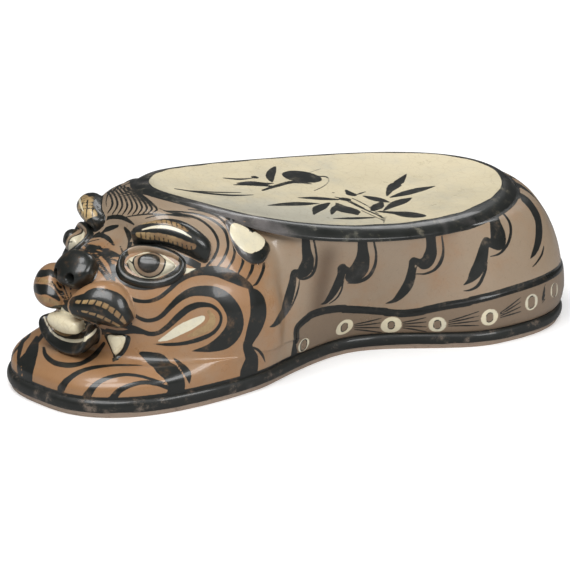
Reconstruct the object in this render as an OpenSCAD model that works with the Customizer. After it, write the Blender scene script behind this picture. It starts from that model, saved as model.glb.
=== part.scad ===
// Stoneware pillow in the form of a lying tiger, hollow, luted together from
// moulded walls, two slabs, applied face pieces and inner clay coils.
// The tiger's head is at -X, its left flank at -Y, and the floor is at z = 0.

/* [Body] */
// Length from the front of the chest to the rump
length = 390; // [360:1:430]
// Width of the foot across the rump
rump_width = 168; // [156:1:184]
// Width of the foot across the chest
chest_width = 146; // [134:1:156]
// Width of the foot at the waist
waist_width = 96; // [86:1:112]
// Distance from the chest's front to the neck
chest_reach = 114.5; // [110:0.5:122]
// Distance from the loin to the rump's end
rump_reach = 89; // [82:1:98]
// Place of the waist, along the length
waist_x = 15; // [5:1:30]
// How far the flank swells beyond the straight wall
flank_swell = 3; // [1:0.5:6]
// Thickness of the moulded wall
wall = 7; // [5:0.5:9]

/* [Foot] */
// Thickness of the floor slab, whose edge is the round foot bead
foot_height = 11; // [9:0.5:13]
// Height of the bare clay strip under the foot bead
bare_height = 3; // [2:0.5:4]
// How far the foot bead stands out from the wall
bead_out = 3; // [2:0.5:4]

/* [Headrest] */
// Distance from the chest's front to the cream panel
rest_front = 99.5; // [94:0.5:104]
// Distance from the cream panel to the rump's end
rest_rear = 37.5; // [33:0.5:42]
// Width of the cream panel
rest_width = 134; // [126:1:142]
// How much fuller the panel is towards the rump
rest_egg = 0.09; // [0:0.01:0.12]
// Height of the panel's edge at its middle
rest_height = 94; // [88:1:100]
// Rise of the panel's edge towards the head, over 100 mm
rest_slope = 7.8; // [6:0.2:9]
// Upward curve of the panel's ends, over 100 mm
rest_curve = 5.5; // [4:0.5:7]
// Depth of the panel's hollow
rest_dish = 3; // [1:0.5:4]
// Thickness of the headrest slab
rest_thickness = 9; // [8:0.5:11]
// Width of the dark band round the panel
band_width = 10; // [8:0.5:12]
// Drop of the band from the panel to the flank
band_drop = 6; // [4:0.5:7]
// Width of the seat under the slab's edge
seat_width = 6; // [4:0.5:7]

/* [Head] */
// Turn of the head to the tiger's left
head_turn = 10; // [0:0.5:12]
// Radius of the face about the neck
face_radius = 74; // [71:0.5:76]
// Height of the eyes
eye_height = 81; // [79:0.5:82]
// Distance of each eye round the face from its middle
eye_out = 41.5; // [40:0.5:43]
// Drop from the eyes to the nose's middle
nose_drop = 9.5; // [8.5:0.5:10.5]
// Drop from the nose's middle to the lower jaw
jaw_drop = 37; // [36:0.5:38]
// Bore of each nostril vent
nostril_bore = 5.6; // [4.4:0.2:6]
// Distance between the nostril vents
nostril_pitch = 13; // [12:0.5:15]
// Height of the pieces applied to the face
relief = 6; // [4:0.5:7]
// Width of each eye's opening
eye_width = 34; // [30:1:36]
// Height of the brow's inner end over the eye
brow_lift = 11; // [10.5:0.5:12]
// Width of each brow
brow_width = 11; // [9:0.5:12]
// Width of each ear
ear_width = 34; // [30:1:35]
// Height of each ear
ear_height = 21; // [19:0.5:22]

/* [Tail] */
// Width of the tail's roll
tail_width = 20; // [17:1:23]
// How far the tail passes the middle of the rump
tail_wrap = 26; // [10:1:40]
// Height of the tail above the flank
tail_rise = 1.5; // [1:0.5:3]

/* [Joins] */
// Slip gap between luted pieces
gap = 0.4; // [0.3:0.1:0.6]
// Thickness of the inner luting coils
coil = 8; // [6:0.5:9]
// Sideways lean of the headrest, over its height
lean = 0.1; // [0:0.01:0.12]

/* [Hidden] */

neck_x = chest_reach - length / 2;
loin_x = length / 2 - rump_reach;
barrel = loin_x - neck_x;
rest_length = length - rest_front - rest_rear;
rest_x = (rest_front - rest_rear) / 2;
nose_height = eye_height - nose_drop;
fan_radius = 70;
quarter = fan_radius * PI / 2;
front_walk = -quarter;
rear_walk = barrel + quarter;
// The seam between head and flank lies in the crease behind the cheek
seam_walk = 34;
top_level = 12;
// Squareness of the foot's two ends
chest_power = 2.7;
rump_power = 2.5;
// How the rolled flank, the cheek and the crease behind it are shaped
roll_power = 2.1;
cheek_walk = 62;
crease_depth = 5;
crease_width = 9;
crease_level = 6.5;
snout_spread = 24;
// Where the ears sit beside the neck and under the wall's top, and how far the headrest's edge may stand over them
ear_walk = 10;
ear_drop = 3;
ear_overhang = 2;
// Slip under the applied pieces, which spans the wall's own unevenness
relief_gap = gap + 0.3;
// Height of the lower jaw over the foot, as it is and as the chest's levels were drawn for
jaw_room = nose_height - jaw_drop - foot_height;
drawn_jaw_room = 23.5;
// Heights of the wall's levels over the foot: those of the chest, then those of the face up to the headrest
ladder = concat([0, 6.5, 10.5, 14, 17.5] * (jaw_room / drawn_jaw_room), [34, 49, 61, 69, 79, 89, 96, 99]);
slip_colour = "#c39a78";
iron_colour = "#2b2d2c";
cream_colour = "#e6dcc0";
clay_colour = "#c9a58c";

// Helpers
function lerp(a, b, t) = a + (b - a) * t;
function clamp01(t) = max(0, min(1, t));
function ease(t) = let(c = clamp01(t)) c * c * (3 - 2 * c);
function degrees(arc) = arc * 180 / PI;
function bell(d, width) = exp(-pow(d / width, 2));
function spline(list, t) =
    let(last = len(list) - 1, i = max(0, min(last - 1, floor(t))), f = t - i,
        a = list[max(0, i - 1)], b = list[i], c = list[i + 1], d = list[min(last, i + 2)])
    b + (c - a) * f / 2 + (a * 2 - b * 5 + c * 4 - d) * f * f / 2 + (b * 3 - a - c * 3 + d) * f * f * f / 2;

// A walk round the wall in mm: 0 beside the neck, negative to the face, positive to the rump
function spot(walk) = walk < 0 ? neck_x : min(neck_x + walk, loin_x);
function heading(walk) =
    walk < 0 ? let(a = 90 + degrees(walk / fan_radius)) [-cos(a), -sin(a)]
    : walk < barrel ? [0, -1]
    : let(a = degrees((walk - barrel) / fan_radius)) [sin(a), -cos(a)];
function oval(d, along, across, power) =
    pow(pow(abs(d.x) / along, power) + pow(abs(d.y) / across, power), -1 / power);
function foot_radius(walk) =
    let(d = heading(walk), x = spot(walk))
    walk < 0 ? oval(d, chest_reach, chest_width / 2, chest_power)
    : walk > barrel ? oval(d, rump_reach, rump_width / 2, rump_power)
    : x < waist_x ? lerp(chest_width, waist_width, ease((x - neck_x) / (waist_x - neck_x))) / 2
    : lerp(waist_width, rump_width, ease((x - waist_x) / (loin_x - waist_x))) / 2;

// Outline and height of the headrest, grown outwards from the cream panel
function ellipse_radius(c, d, a, b) =
    let(p = pow(d.x / a, 2) + pow(d.y / b, 2), q = c * d.x / (a * a), r = pow(c / a, 2) - 1)
    (sqrt(q * q - p * r) - q) / p;
function egg_radius(c, d, a, b, passes) =
    passes == 0 ? ellipse_radius(c, d, a, b)
    : let(r = egg_radius(c, d, a, b, passes - 1))
      ellipse_radius(c, d, a, b * (1 + rest_egg * (c + d.x * r) / a));
function rest_radius(walk, grow) =
    egg_radius(spot(walk) - rest_x, heading(walk), rest_length / 2 + grow, rest_width / 2 + grow, 3);
function edge_height(x) =
    let(u = (x - rest_x) / 100) rest_height - rest_slope * u + rest_curve * u * u;
function headness(x) = ease((rest_x - x) / 100 - 0.55);
function rim_height(x) = edge_height(x) - lerp(band_drop, band_drop / 3, headness(x));

// The face and cheeks: one radius about the neck for each level
function face_levels(walk, foot, rim) =
    let(turn = abs(90 + degrees(min(walk, 0) / fan_radius)), snout = bell(turn, snout_spread), side = pow(sin(turn), 2),
        apron = foot - face_radius + 1)
    [foot, foot - 0.03 * apron, foot - 0.16 * apron, foot - 0.42 * apron,
     face_radius - 1 + 6 * snout - side + 0.25 * max(0, apron) * (1 - snout),
     face_radius + 0.5 + 13 * snout - side,
     face_radius - 1 + 14 * snout - side,
     face_radius - 6 + 12 * snout,
     face_radius - 11 + 5 * snout + 3 * side,
     face_radius - 18 - 7 * snout + 5 * side,
     face_radius - 25 - 4 * snout + 5 * side,
     lerp(face_radius - 32 - snout + 4 * side, rim, 0.1),
     rim];
// The flank: an upright wall that rolls over to the headrest
function flank_level(foot, rim, level) =
    let(t = ladder[level] / ladder[top_level], roll = 1 - pow(max(0, 1 - pow(t, roll_power)), 1 / roll_power),
        over = clamp01((rim - foot) / 12))
    lerp(foot, rim, lerp(roll, t, over)) + flank_swell * sin(180 * pow(t, 0.7)) * (1 - over);
function wall_point(walk, level) =
    let(d = heading(walk), x = spot(walk), foot = foot_radius(walk) - bead_out,
        rim = rest_radius(walk, band_width + gap),
        flank = ease(walk / cheek_walk),
        face = face_levels(walk, foot, rim),
        barrel_list = [for (k = [0:top_level]) flank_level(foot, rim, k)],
        crease = crease_depth * bell(walk - seam_walk, crease_width) * bell(level - crease_level, 4),
        r = spline(lerp(face, barrel_list, flank), level) - crease,
        end = [x + d.x * rim, d.y * rim],
        z = foot_height + (rim_height(end.x) - foot_height) * spline(ladder, level) / ladder[top_level])
    [x + d.x * r, d.y * r, z];
function unit(v) = v / norm(v);
function wall_normal(walk, level) =
    let(step = level > top_level - 0.1 ? -0.05 : 0.05, p = wall_point(walk, level))
    unit(cross(wall_point(walk + 0.5, level) - p, (wall_point(walk, level + step) - p) * sign(step)));
function on_wall(walk, level, out) = wall_point(walk, level) + wall_normal(walk, level) * out;
// The level of the wall at a height, as it is on the head
function level_at(z) = lookup(z - foot_height, [for (k = [0:top_level]) [ladder[k], k]]);
function round_face(angle) = (angle - 90) * PI / 180 * fan_radius;

// The head turns about the neck, and the headrest leans a little
turn_centre = -60;
// Brings the origin to the middle of the part's box
box_middle = [0.605, -0.975, 0];
function turn_share(x) = ease((-20 - x) / 80);
function settle(p) =
    let(a = head_turn * turn_share(p.x), x = p.x - turn_centre,
        tilt = 1 + lean * p.y / rest_height * ease((p.x + 130) / 70))
    [turn_centre + x * cos(a) - p.y * sin(a), x * sin(a) + p.y * cos(a), p.z * tilt] - box_middle;
function flip(p) = [p.x, -p.y, p.z];

// Closed solids from rows of points
function quads(n, m, shift, wrap) =
    [for (i = [0:n - 2]) for (j = [0:wrap ? m - 1 : m - 2])
        let(a = shift + i * m + j, b = shift + i * m + (j + 1) % m, c = a + m, d = b + m)
        each [[a, b, c], [b, d, c]]];
module grid_solid(outer, inner, mirrored = false) {
    n = len(outer);
    m = len(outer[0]);
    rows = concat(outer, inner);
    points = [for (row = rows) for (p = row) settle(mirrored ? flip(p) : p)];
    far = n * m;
    top = quads(n, m, 0, false);
    under = [for (f = quads(n, m, far, false)) [f[2], f[1], f[0]]];
    sides = concat(
        [for (i = [0:n - 2]) let(a = i * m, b = a + m) each [[a, b, far + a], [b, far + b, far + a]]],
        [for (i = [0:n - 2]) let(a = i * m + m - 1, b = a + m) each [[b, a, far + a], [b, far + a, far + b]]],
        [for (j = [0:m - 2]) let(a = j, b = j + 1) each [[b, a, far + a], [b, far + a, far + b]]],
        [for (j = [0:m - 2]) let(a = far - m + j, b = a + 1) each [[a, b, far + a], [b, far + b, far + a]]]);
    faces = concat(top, under, sides);
    polyhedron(points, mirrored ? [for (f = faces) [f[2], f[1], f[0]]] : faces);
}
// A stack of closed rings, each capped by rungs between its left and right halves
module ring_stack(rings) {
    n = len(rings);
    m = len(rings[0]);
    points = [for (ring = rings) for (p = ring) settle(p)];
    rungs = [for (i = [0:m / 2 - 1])
        let(a = i, b = i + 1, c = m - 1 - i, d = (m - i) % m)
        each (i == 0 ? [[a, b, c]] : i == m / 2 - 1 ? [[a, b, d]] : [[a, b, c], [a, c, d]])];
    last = (n - 1) * m;
    polyhedron(points, concat([for (f = quads(n, m, 0, true)) [f[2], f[1], f[0]]], rungs,
                              [for (f = rungs) [last + f[2], last + f[1], last + f[0]]]));
}
// A tube along a closed or open line of points, with a flat side turned to the given way
coil_sides = 6;
coil_flat = coil / 2 * cos(180 / coil_sides);
module clay_coil(line, closed, way) {
    sides = coil_sides;
    n = len(line);
    rings = [for (i = [0:n - 1])
        let(a = line[closed ? (i + n - 1) % n : max(0, i - 1)], b = line[closed ? (i + 1) % n : min(n - 1, i + 1)],
            t = unit(b - a), across = unit(cross(t, way)),
            up = cross(across, t))
        [for (k = [0:sides - 1]) line[i] + coil / 2 * (across * cos(360 * k / sides) + up * sin(360 * k / sides))]];
    points = [for (ring = rings) for (p = ring) settle(p)];
    walls = [for (i = [0:closed ? n - 1 : n - 2]) for (k = [0:sides - 1])
        let(a = i * sides + k, b = i * sides + (k + 1) % sides, o = ((i + 1) % n) * sides,
            c = o + k, d = o + (k + 1) % sides)
        each [[a, b, c], [b, d, c]]];
    caps = closed ? [] : [for (k = [1:sides - 2]) each [[0, k + 1, k],
        [(n - 1) * sides, (n - 1) * sides + k, (n - 1) * sides + k + 1]]];
    polyhedron(points, concat(walls, caps));
}
// A raised roll that follows the wall along a path of [walk, height]
module roll(path, halves, rise, along, across, power = 0.5, mirrored = false, fullness = 3) {
    last = len(path) - 1;
    rows = [for (i = [0:along])
        let(s = i / along, t = s * last, c = spline(path, t), e = 0.02,
            tangent = unit(spline(path, min(last, t + e)) - spline(path, max(0, t - e))),
            half = spline(halves, s * (len(halves) - 1)), swell = pow(max(0, 1 - pow(abs(2 * s - 1), fullness)), 0.5))
        [for (j = [0:across])
            let(q = 2 * j / across - 1, spotted = c + [-tangent.y, tangent.x] * q * half)
            [spotted.x, level_at(spotted.y), relief_gap + 0.5 + rise * swell * pow(max(0, 1 - q * q), power)]]];
    grid_solid([for (row = rows) [for (p = row) on_wall(p.x, p.y, p.z)]],
               [for (row = rows) [for (p = row) on_wall(p.x, p.y, relief_gap)]], mirrored);
}

// Stations round the whole wall, from the chest's front by the left side and back by the right
function steps(a, b, n) = [for (i = [0:n]) lerp(a, b, i / n)];
left_walk = concat(steps(front_walk, 0, 20), [for (w = steps(0, barrel, 16)) if (w > 0) w],
                   [for (w = steps(barrel, rear_walk, 12)) if (w > barrel) w]);
function doubled(rows) = concat([for (i = [len(rows) - 1:-1:1]) [for (p = rows[i]) flip(p)]], rows);
function ring(points) = concat(points, [for (i = [len(points) - 2:-1:1]) flip(points[i])]);
function foot_ring(inset, z) =
    ring([for (w = left_walk) let(d = heading(w), r = foot_radius(w) - inset) [spot(w) + d.x * r, d.y * r, z]]);
function rest_ring(share, grow, drop, flat) =
    ring([for (w = left_walk)
        let(d = heading(w), r = rest_radius(w, grow), x = spot(w) + d.x * r)
        [spot(w) + d.x * r * share, d.y * r * share,
         edge_height(lerp(spot(w), x, flat ? share : 1)) - (drop == undef ? edge_height(x) - rim_height(x) : drop)]]);

// Inner face of the moulded wall, and the seat that holds the headrest slab
function inner_point(walk, level) =
    let(p = on_wall(walk, level, -wall), d = heading(walk), r = rest_radius(walk, band_width - seat_width),
        x = spot(walk) + d.x * r, seat = edge_height(x) - rest_thickness - gap)
    level == top_level ? [x, d.y * r, seat]
    : [p.x, p.y, max(foot_height + gap, min(p.z, seat - 1.5 * (top_level - level)))];
module wall_shell(walks, levels, both_sides = false, mirrored = false) {
    skin = [for (w = walks) [for (v = levels) wall_point(w, v) + [0, 0, v == 0 ? gap : 0]]];
    lining = [for (w = walks) [for (v = levels) inner_point(w, v)]];
    grid_solid(both_sides ? doubled(skin) : skin, both_sides ? doubled(lining) : lining, mirrored);
}
face_steps = [0, 1, 1.7, 2.4, 3, 3.4, 3.7, 4, 4.3, 4.6, 5, 5.6, 6.2, 6.8, 7.4, 8, 8.6, 9.2, 9.8, 10.4, 10.9, 11.3, 11.7, 12];
flank_steps = [0, 1, 2, 3, 4, 5, 6, 7, 8, 8.8, 9.6, 10.3, 11, 11.5, 12];
face_walk = concat(steps(front_walk, 0, 20), [for (w = steps(0, seam_walk - gap / 2, 4)) if (w > 0) w]);
flank_walk = concat(steps(seam_walk + gap / 2, barrel, 16),
                    [for (w = steps(barrel, rear_walk - gap / 2, 12)) if (w > barrel) w]);

module nostril_vents() {
    rotate([0, 0, head_turn]) translate([neck_x - turn_centre, 0, nose_height + 3])
        for (side = [-1, 1])
            translate([-face_radius - 30, side * nostril_pitch / 2, 0])
                rotate([0, 90, 0]) cylinder(d = nostril_bore, h = 60, $fn = 32);
}
module vented() {
    difference() {
        children();
        translate([turn_centre, 0, 0] - box_middle) nostril_vents();
    }
}

// Sub-parts
module base_slab() {
    color(clay_colour)
        ring_stack([foot_ring(bead_out, 0), foot_ring(bead_out / 2, bare_height),
                    foot_ring(bead_out / 6, bare_height + 1), foot_ring(0, (bare_height + foot_height) / 2),
                    foot_ring(bead_out / 4, foot_height - 2), foot_ring(bead_out, foot_height)]);
}
module head_shell() {
    color(slip_colour) vented()
        wall_shell(face_walk, face_steps, both_sides = true);
}
module flank_shell(mirrored) {
    color(slip_colour) wall_shell(flank_walk, flank_steps, mirrored = mirrored);
}
module headrest_slab() {
    color(cream_colour)
        ring_stack([rest_ring(0.1, 0, rest_thickness, true), rest_ring(1, band_width - seat_width, rest_thickness),
                    rest_ring(1, band_width), rest_ring(1, band_width / 2, band_drop / 4), rest_ring(1, 0, 0),
                    rest_ring(0.8, 0, rest_dish * 0.4, true), rest_ring(0.5, 0, rest_dish * 0.8, true),
                    rest_ring(0.1, 0, rest_dish, true)]);
}
module ear(mirrored) {
    top = wall_point(ear_walk, top_level - 1);
    overhang = rest_radius(ear_walk, band_width + gap) - [top.x - spot(ear_walk), top.y] * heading(ear_walk);
    ear_root = foot_height + ladder[top_level] - ear_drop - ear_height - max(0, overhang - ear_overhang);
    color(cream_colour)
        roll([[ear_walk, ear_root], [ear_walk - 1, ear_root + ear_height / 3],
              [ear_walk - 1, ear_root + ear_height * 2 / 3], [ear_walk, ear_root + ear_height]],
             [0.5, 0.95, 1, 0.8] * ear_width / 2, relief * 0.6, 10, 8, 0.5, mirrored);
}
module brow(mirrored) {
    color(iron_colour)
        roll([[round_face(17), eye_height + brow_lift], [round_face(38), eye_height + brow_lift * 1.4],
              [round_face(54), eye_height + brow_lift * 1.25], [round_face(66), eye_height + brow_lift * 0.7]],
             [0.8, 1.05, 1.3, 1.2] * brow_width / 2, relief * 1.7, 14, 8, 0.5, mirrored);
}
module eyeball(mirrored) {
    eye = front_walk + eye_out;
    color(cream_colour)
        roll([[eye - eye_width * 0.45, eye_height - 0.5], [eye, eye_height - 1.3],
              [eye + eye_width * 0.45, eye_height - 0.5]],
             [0.05, 0.185, 0.05] * eye_width, relief, 12, 8, 0.7, mirrored);
}
module eyelid(mirrored) {
    eye = front_walk + eye_out;
    count = 28;
    bands = 4;
    rim_half = eye_width * 0.05;
    rings = [for (j = [0:bands])
        let(q = 2 * j / bands - 1)
        [for (i = [0:count - 1])
            let(a = 360 * i / count, half = rim_half * (1 + 0.5 * max(0, -sin(a))), along = eye_width * 0.6 + q * half,
                high = eye_width * (a < 180 ? 0.18 : 0.34) + q * half)
            [eye + along * cos(a), level_at(eye_height + 1 + high * sin(a)),
             relief_gap + 0.5 + relief / 2 * sqrt(1 - q * q)]]];
    flat = [for (row = rings) [for (p = row) on_wall(p.x, p.y, p.z)]];
    under = [for (row = rings) [for (p = row) on_wall(p.x, p.y, relief_gap)]];
    rows = concat(flat, [for (j = [bands:-1:0]) under[j]], [flat[0]]);
    points = [for (row = rows) for (p = row) settle(mirrored ? flip(p) : p)];
    loop = (2 * bands + 2) * count;
    faces = [for (f = quads(2 * bands + 3, count, 0, true)) [f[0] % loop, f[1] % loop, f[2] % loop]];
    color(iron_colour) polyhedron(points, mirrored ? [for (f = faces) [f[2], f[1], f[0]]] : faces);
}
module nose() {
    color(iron_colour) vented()
        roll([[front_walk, nose_height - 7.5], [front_walk, nose_height], [front_walk, nose_height + 7.5]],
             [7, 11.5, 9], relief * 2, 10, 12, 0.2);
}
module whisker_pad(mirrored) {
    color(iron_colour)
        roll([[front_walk + 4.5, nose_height - 17.5], [front_walk + 20.5, nose_height - 13],
              [front_walk + 33, nose_height - 23.5]],
             [5, 12, 5], relief * 2.3, 12, 8, 0.5, mirrored);
}
module tongue() {
    color(cream_colour)
        roll([[front_walk - 10, nose_height - 26], [front_walk, nose_height - 26], [front_walk + 10, nose_height - 26]],
             [2.8, 4, 2.8], relief * 1.5, 8, 8, 0.2, fullness = 8);
}
module lower_jaw() {
    jaw = nose_height - jaw_drop;
    color(iron_colour)
        roll([[front_walk - 15.5, jaw + 11], [front_walk - 11.5, jaw + 3.2], [front_walk, jaw],
              [front_walk + 11.5, jaw + 3.2], [front_walk + 15.5, jaw + 11]],
             [2, 3.2, 4, 3.2, 2], relief * 2.3, 14, 6, fullness = 8);
}
module fang(mirrored) {
    fang_walk = front_walk + 26;
    root = nose_height - 30;
    color(cream_colour)
        roll([[fang_walk, root], [fang_walk, root - 6.5], [fang_walk, root - 13.5]],
             [6, 4, 0.8], relief - 2, 6, 6, 0.7, mirrored);
}
module tail() {
    walks = [for (share = [0.25, 0.34, 0.42, 0.5, 0.6, 0.7, 0.85, 1]) barrel * share];
    ends = [rear_walk - quarter * 0.7, rear_walk - quarter * 0.35, rear_walk, rear_walk + tail_wrap];
    halves = [1.2, 1.54, 1.54, 1.37, 1.15, 1, 1.37, 1.7, 1.8, 1.72, 1.58, 1.28] * tail_width / 2;
    path = [for (i = [0:len(halves) - 1]) [concat(walks, ends)[i], foot_height + bead_out / 2 + halves[i]]];
    color(slip_colour) roll(path, halves, tail_rise, 44, 6, 0.5);
}
// Least distance from the spine to the wall's inner face, among levels that lie between two heights
function lining_reach(walk, levels, low, high) =
    min([for (v = levels) let(p = inner_point(walk, v))
        if (p.z > low && p.z < high) [p.x - spot(walk), p.y] * heading(walk)]);
// A coil beside a slanting wall stands off by this much more than its radius
slant = 1.48;
module floor_seam_coil() {
    line = ring([for (w = left_walk)
        let(d = heading(w), top = foot_height + coil + 4 * gap,
            r = lining_reach(w, steps(0, 4.5, 18), 0, top) - slant * coil / 2 - gap)
        [spot(w) + d.x * r, d.y * r, foot_height + coil_flat + gap]]);
    color(clay_colour) clay_coil(line, true, [0, 0, 1]);
}
module headrest_seam_coil() {
    line = ring([for (w = left_walk)
        let(d = heading(w), seat = inner_point(w, top_level).z,
            r = lining_reach(w, steps(9, top_level, 12), seat - coil - 2 * gap, seat + 1) - slant * coil / 2 - gap,
            x = spot(w) + d.x * r)
        [x, d.y * r, edge_height(x) - rest_thickness - coil_flat - relief_gap]]);
    color(clay_colour) clay_coil(line, true, [0, 0, 1]);
}
module seam_coil(walk, mirrored = false) {
    d = heading(walk);
    way = [d.x, d.y, 0];
    line = [for (v = steps(5.2, 8.6, 8)) inner_point(walk, v) - way * (coil_flat + relief_gap + 0.1)];
    color(clay_colour) clay_coil([for (p = line) mirrored ? flip(p) : p], false, mirrored ? flip(way) : way);
}

base_slab();
head_shell();
flank_shell(false);  // left_flank_shell
flank_shell(true);  // right_flank_shell
headrest_slab();
ear(false);  // left_ear
ear(true);  // right_ear
brow(false);  // left_brow
brow(true);  // right_brow
eyeball(false);  // left_eyeball
eyeball(true);  // right_eyeball
eyelid(false);  // left_eyelid
eyelid(true);  // right_eyelid
nose();
whisker_pad(false);  // left_whisker_pad
whisker_pad(true);  // right_whisker_pad
tongue();
lower_jaw();
fang(false);  // left_fang
fang(true);  // right_fang
tail();
floor_seam_coil();
headrest_seam_coil();
seam_coil(seam_walk);  // left_neck_coil
seam_coil(seam_walk, true);  // right_neck_coil
seam_coil(rear_walk);  // rump_coil
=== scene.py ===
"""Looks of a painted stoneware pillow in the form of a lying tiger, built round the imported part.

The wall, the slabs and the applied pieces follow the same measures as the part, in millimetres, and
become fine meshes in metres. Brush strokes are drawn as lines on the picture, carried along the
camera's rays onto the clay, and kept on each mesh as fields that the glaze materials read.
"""
import math

import bmesh
import bpy
import numpy as np
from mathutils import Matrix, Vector, noise
from mathutils.bvhtree import BVHTree


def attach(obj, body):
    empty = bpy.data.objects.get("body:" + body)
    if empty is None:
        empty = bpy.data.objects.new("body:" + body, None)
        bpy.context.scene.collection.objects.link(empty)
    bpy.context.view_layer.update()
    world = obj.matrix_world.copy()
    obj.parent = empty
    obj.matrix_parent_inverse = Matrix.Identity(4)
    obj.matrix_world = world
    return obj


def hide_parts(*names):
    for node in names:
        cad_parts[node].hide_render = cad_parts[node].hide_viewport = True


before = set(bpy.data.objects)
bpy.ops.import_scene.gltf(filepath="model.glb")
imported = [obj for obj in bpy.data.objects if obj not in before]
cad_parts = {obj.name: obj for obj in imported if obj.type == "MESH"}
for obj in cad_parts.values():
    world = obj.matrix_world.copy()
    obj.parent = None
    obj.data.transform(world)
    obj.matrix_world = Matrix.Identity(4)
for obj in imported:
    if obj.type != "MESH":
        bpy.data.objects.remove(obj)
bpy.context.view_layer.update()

bl_info = {
    "name": "Tiger pillow",
    "version": (1, 0, 0),
    "blender": (4, 5, 0),
    "location": "View3D > Sidebar > Pillow",
    "description": "Builds a painted stoneware pillow in the form of a lying tiger",
    "category": "Add Mesh",
}

# Measures of the part, in millimetres
LENGTH, RUMP_WIDTH, CHEST_WIDTH, WAIST_WIDTH = 390.0, 168.0, 146.0, 96.0
CHEST_REACH, RUMP_REACH, WAIST_X, FLANK_SWELL, WALL = 114.5, 89.0, 15.0, 3.0, 7.0
FOOT_HEIGHT, BARE_HEIGHT, BEAD_OUT = 11.0, 3.0, 3.0
REST_FRONT, REST_REAR, REST_WIDTH, REST_EGG = 99.5, 37.5, 134.0, 0.09
REST_HEIGHT, REST_SLOPE, REST_CURVE, REST_DISH, REST_THICKNESS = 94.0, 7.8, 5.5, 3.0, 9.0
BAND_WIDTH, BAND_DROP, SEAT_WIDTH = 10.0, 6.0, 6.0
HEAD_TURN, FACE_RADIUS, EYE_HEIGHT, EYE_OUT, EYE_WIDTH = math.radians(10), 74.0, 81.0, 41.5, 34.0
NOSE_DROP, JAW_DROP, NOSTRIL_BORE, NOSTRIL_PITCH, RELIEF = 9.5, 37.0, 5.6, 13.0, 6.0
BROW_LIFT, BROW_WIDTH, EAR_WIDTH, EAR_HEIGHT = 11.0, 11.0, 34.0, 21.0
TAIL_WIDTH, TAIL_WRAP, TAIL_RISE, GAP, LEAN = 20.0, 26.0, 1.5, 0.4, 0.1

NECK_X = CHEST_REACH - LENGTH / 2
LOIN_X = LENGTH / 2 - RUMP_REACH
BARREL = LOIN_X - NECK_X
REST_LENGTH = LENGTH - REST_FRONT - REST_REAR
REST_X = (REST_FRONT - REST_REAR) / 2
NOSE_HEIGHT = EYE_HEIGHT - NOSE_DROP
FAN_RADIUS = 70.0
QUARTER = FAN_RADIUS * math.pi / 2
FRONT, REAR, SEAM = -QUARTER, BARREL + QUARTER, 34.0
CHEST_POWER, RUMP_POWER, ROLL_POWER, CHEEK_WALK = 2.7, 2.5, 2.1, 62.0
CREASE_DEPTH, CREASE_WIDTH, CREASE_LEVEL, SNOUT_SPREAD = 5.0, 9.0, 6.5, 24.0
TOP = 12
LADDER = np.array([0, 6.5, 10.5, 14, 17.5, 34, 49, 61, 69, 79, 89, 96, 99])
TURN_CENTRE = -60.0
BOX_MIDDLE = np.array([0.605, -0.975, 0.0])
TURN_START, TURN_RUN = -20.0, 80.0
LEAN_START, LEAN_RUN = -130.0, 70.0
SWELL_POWER, OVERHANG_RUN, CREASE_TALL = 0.7, 12.0, 4.0
FOOT_LINE, TAIL_LINE, LINING_FALL = 1.6, 2.6, 1.5
SIDES = (("left", -1), ("right", 1))

# How far the ink of an applied piece runs past its outline, then the pupils and the vents
EAR_RUN, BROW_RUN, BROW_RIM, LID_RUN, NOSE_RUN, JAW_RUN, FANG_LINE = 0.6, 0.8, 0.9, 1.1, 0.9, 0.9, 0.5
PUPIL_RISE, PUPIL_EDGE, PUPIL_SLOPE, IRIS_WIDTH, IRIS_LINE = 1.5, 0.8, 2.4, 2.9, 0.5
VENT_DEPTH, VENT_EDGE, VENT_SLOPE, VENT_LIFT = 7, 0.5, 1.2, 3

# Tones of the slip, from greyer to more peach, and shares of painted shade in the hollow behind the shoulder,
# with shares of darkening for the tail's ground, its spots and the cream panel
FLANK_TONE, HEAD_TONE, LOIN_TONE, FOREHEAD_TONE = -0.17, 0.2, 0.05, -0.2
EYE_TONE, TAIL_TONE, TONGUE_TONE = -0.12, -0.14, 0.2
WAIST_SHADE, WAIST_WALK, TAIL_SHADE, SPOT_SHADE, PANEL_SHADE = 0.88, 65, 0.6, 0.1, 0.13

# Small steps along the wall, and how applied clay blends into it
WALK_STEP, LEVEL_STEP = 0.5, 0.05
SKIRT_ROWS, SKIRT_NEAR, SKIRT_FALL, SINK, ROOT_DEPTH = 5, 0.6, 1.2, 0.3, 1.2

# Counts and lengths that set how fine the wall's meshes are
FACE_RISE, FLANK_RISE, FLANK_SHARE, QUICK_STEP = 150, 118, 0.9, 2
LINING_COLUMNS, LINING_ROWS, PANEL_ROWS = 60, 14, 96
SHARP_ANGLE, SEED_STEP = math.radians(48), 7.31

# Brush lines: a field far outside every stroke, and the steps by which strokes are carried
FAR_OUTSIDE, BRUSH_MARGIN, TINY = -9.0, 4.0, 1e-9
MARK_STEP, LARGEST_JUMP, PANEL_STRETCH, WALL_MARKS = 9, 14.0, 3.6, 12

# The camera that fits the picture, and the two enlarged crops in which strokes are given
PICTURE_SIDE, FOCAL_PIXELS = 570, 2212.0
CAMERA_AZIMUTH, CAMERA_PITCH = math.radians(-32.77), math.radians(17.03)
CAMERA_PLACE = np.array([-731.9, -1131.2, 448.6])
FACE_CROP = (0.0, 170.0, 5.227)
FLANK_CROP = (250.0, 140.0, 4.9)

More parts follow.
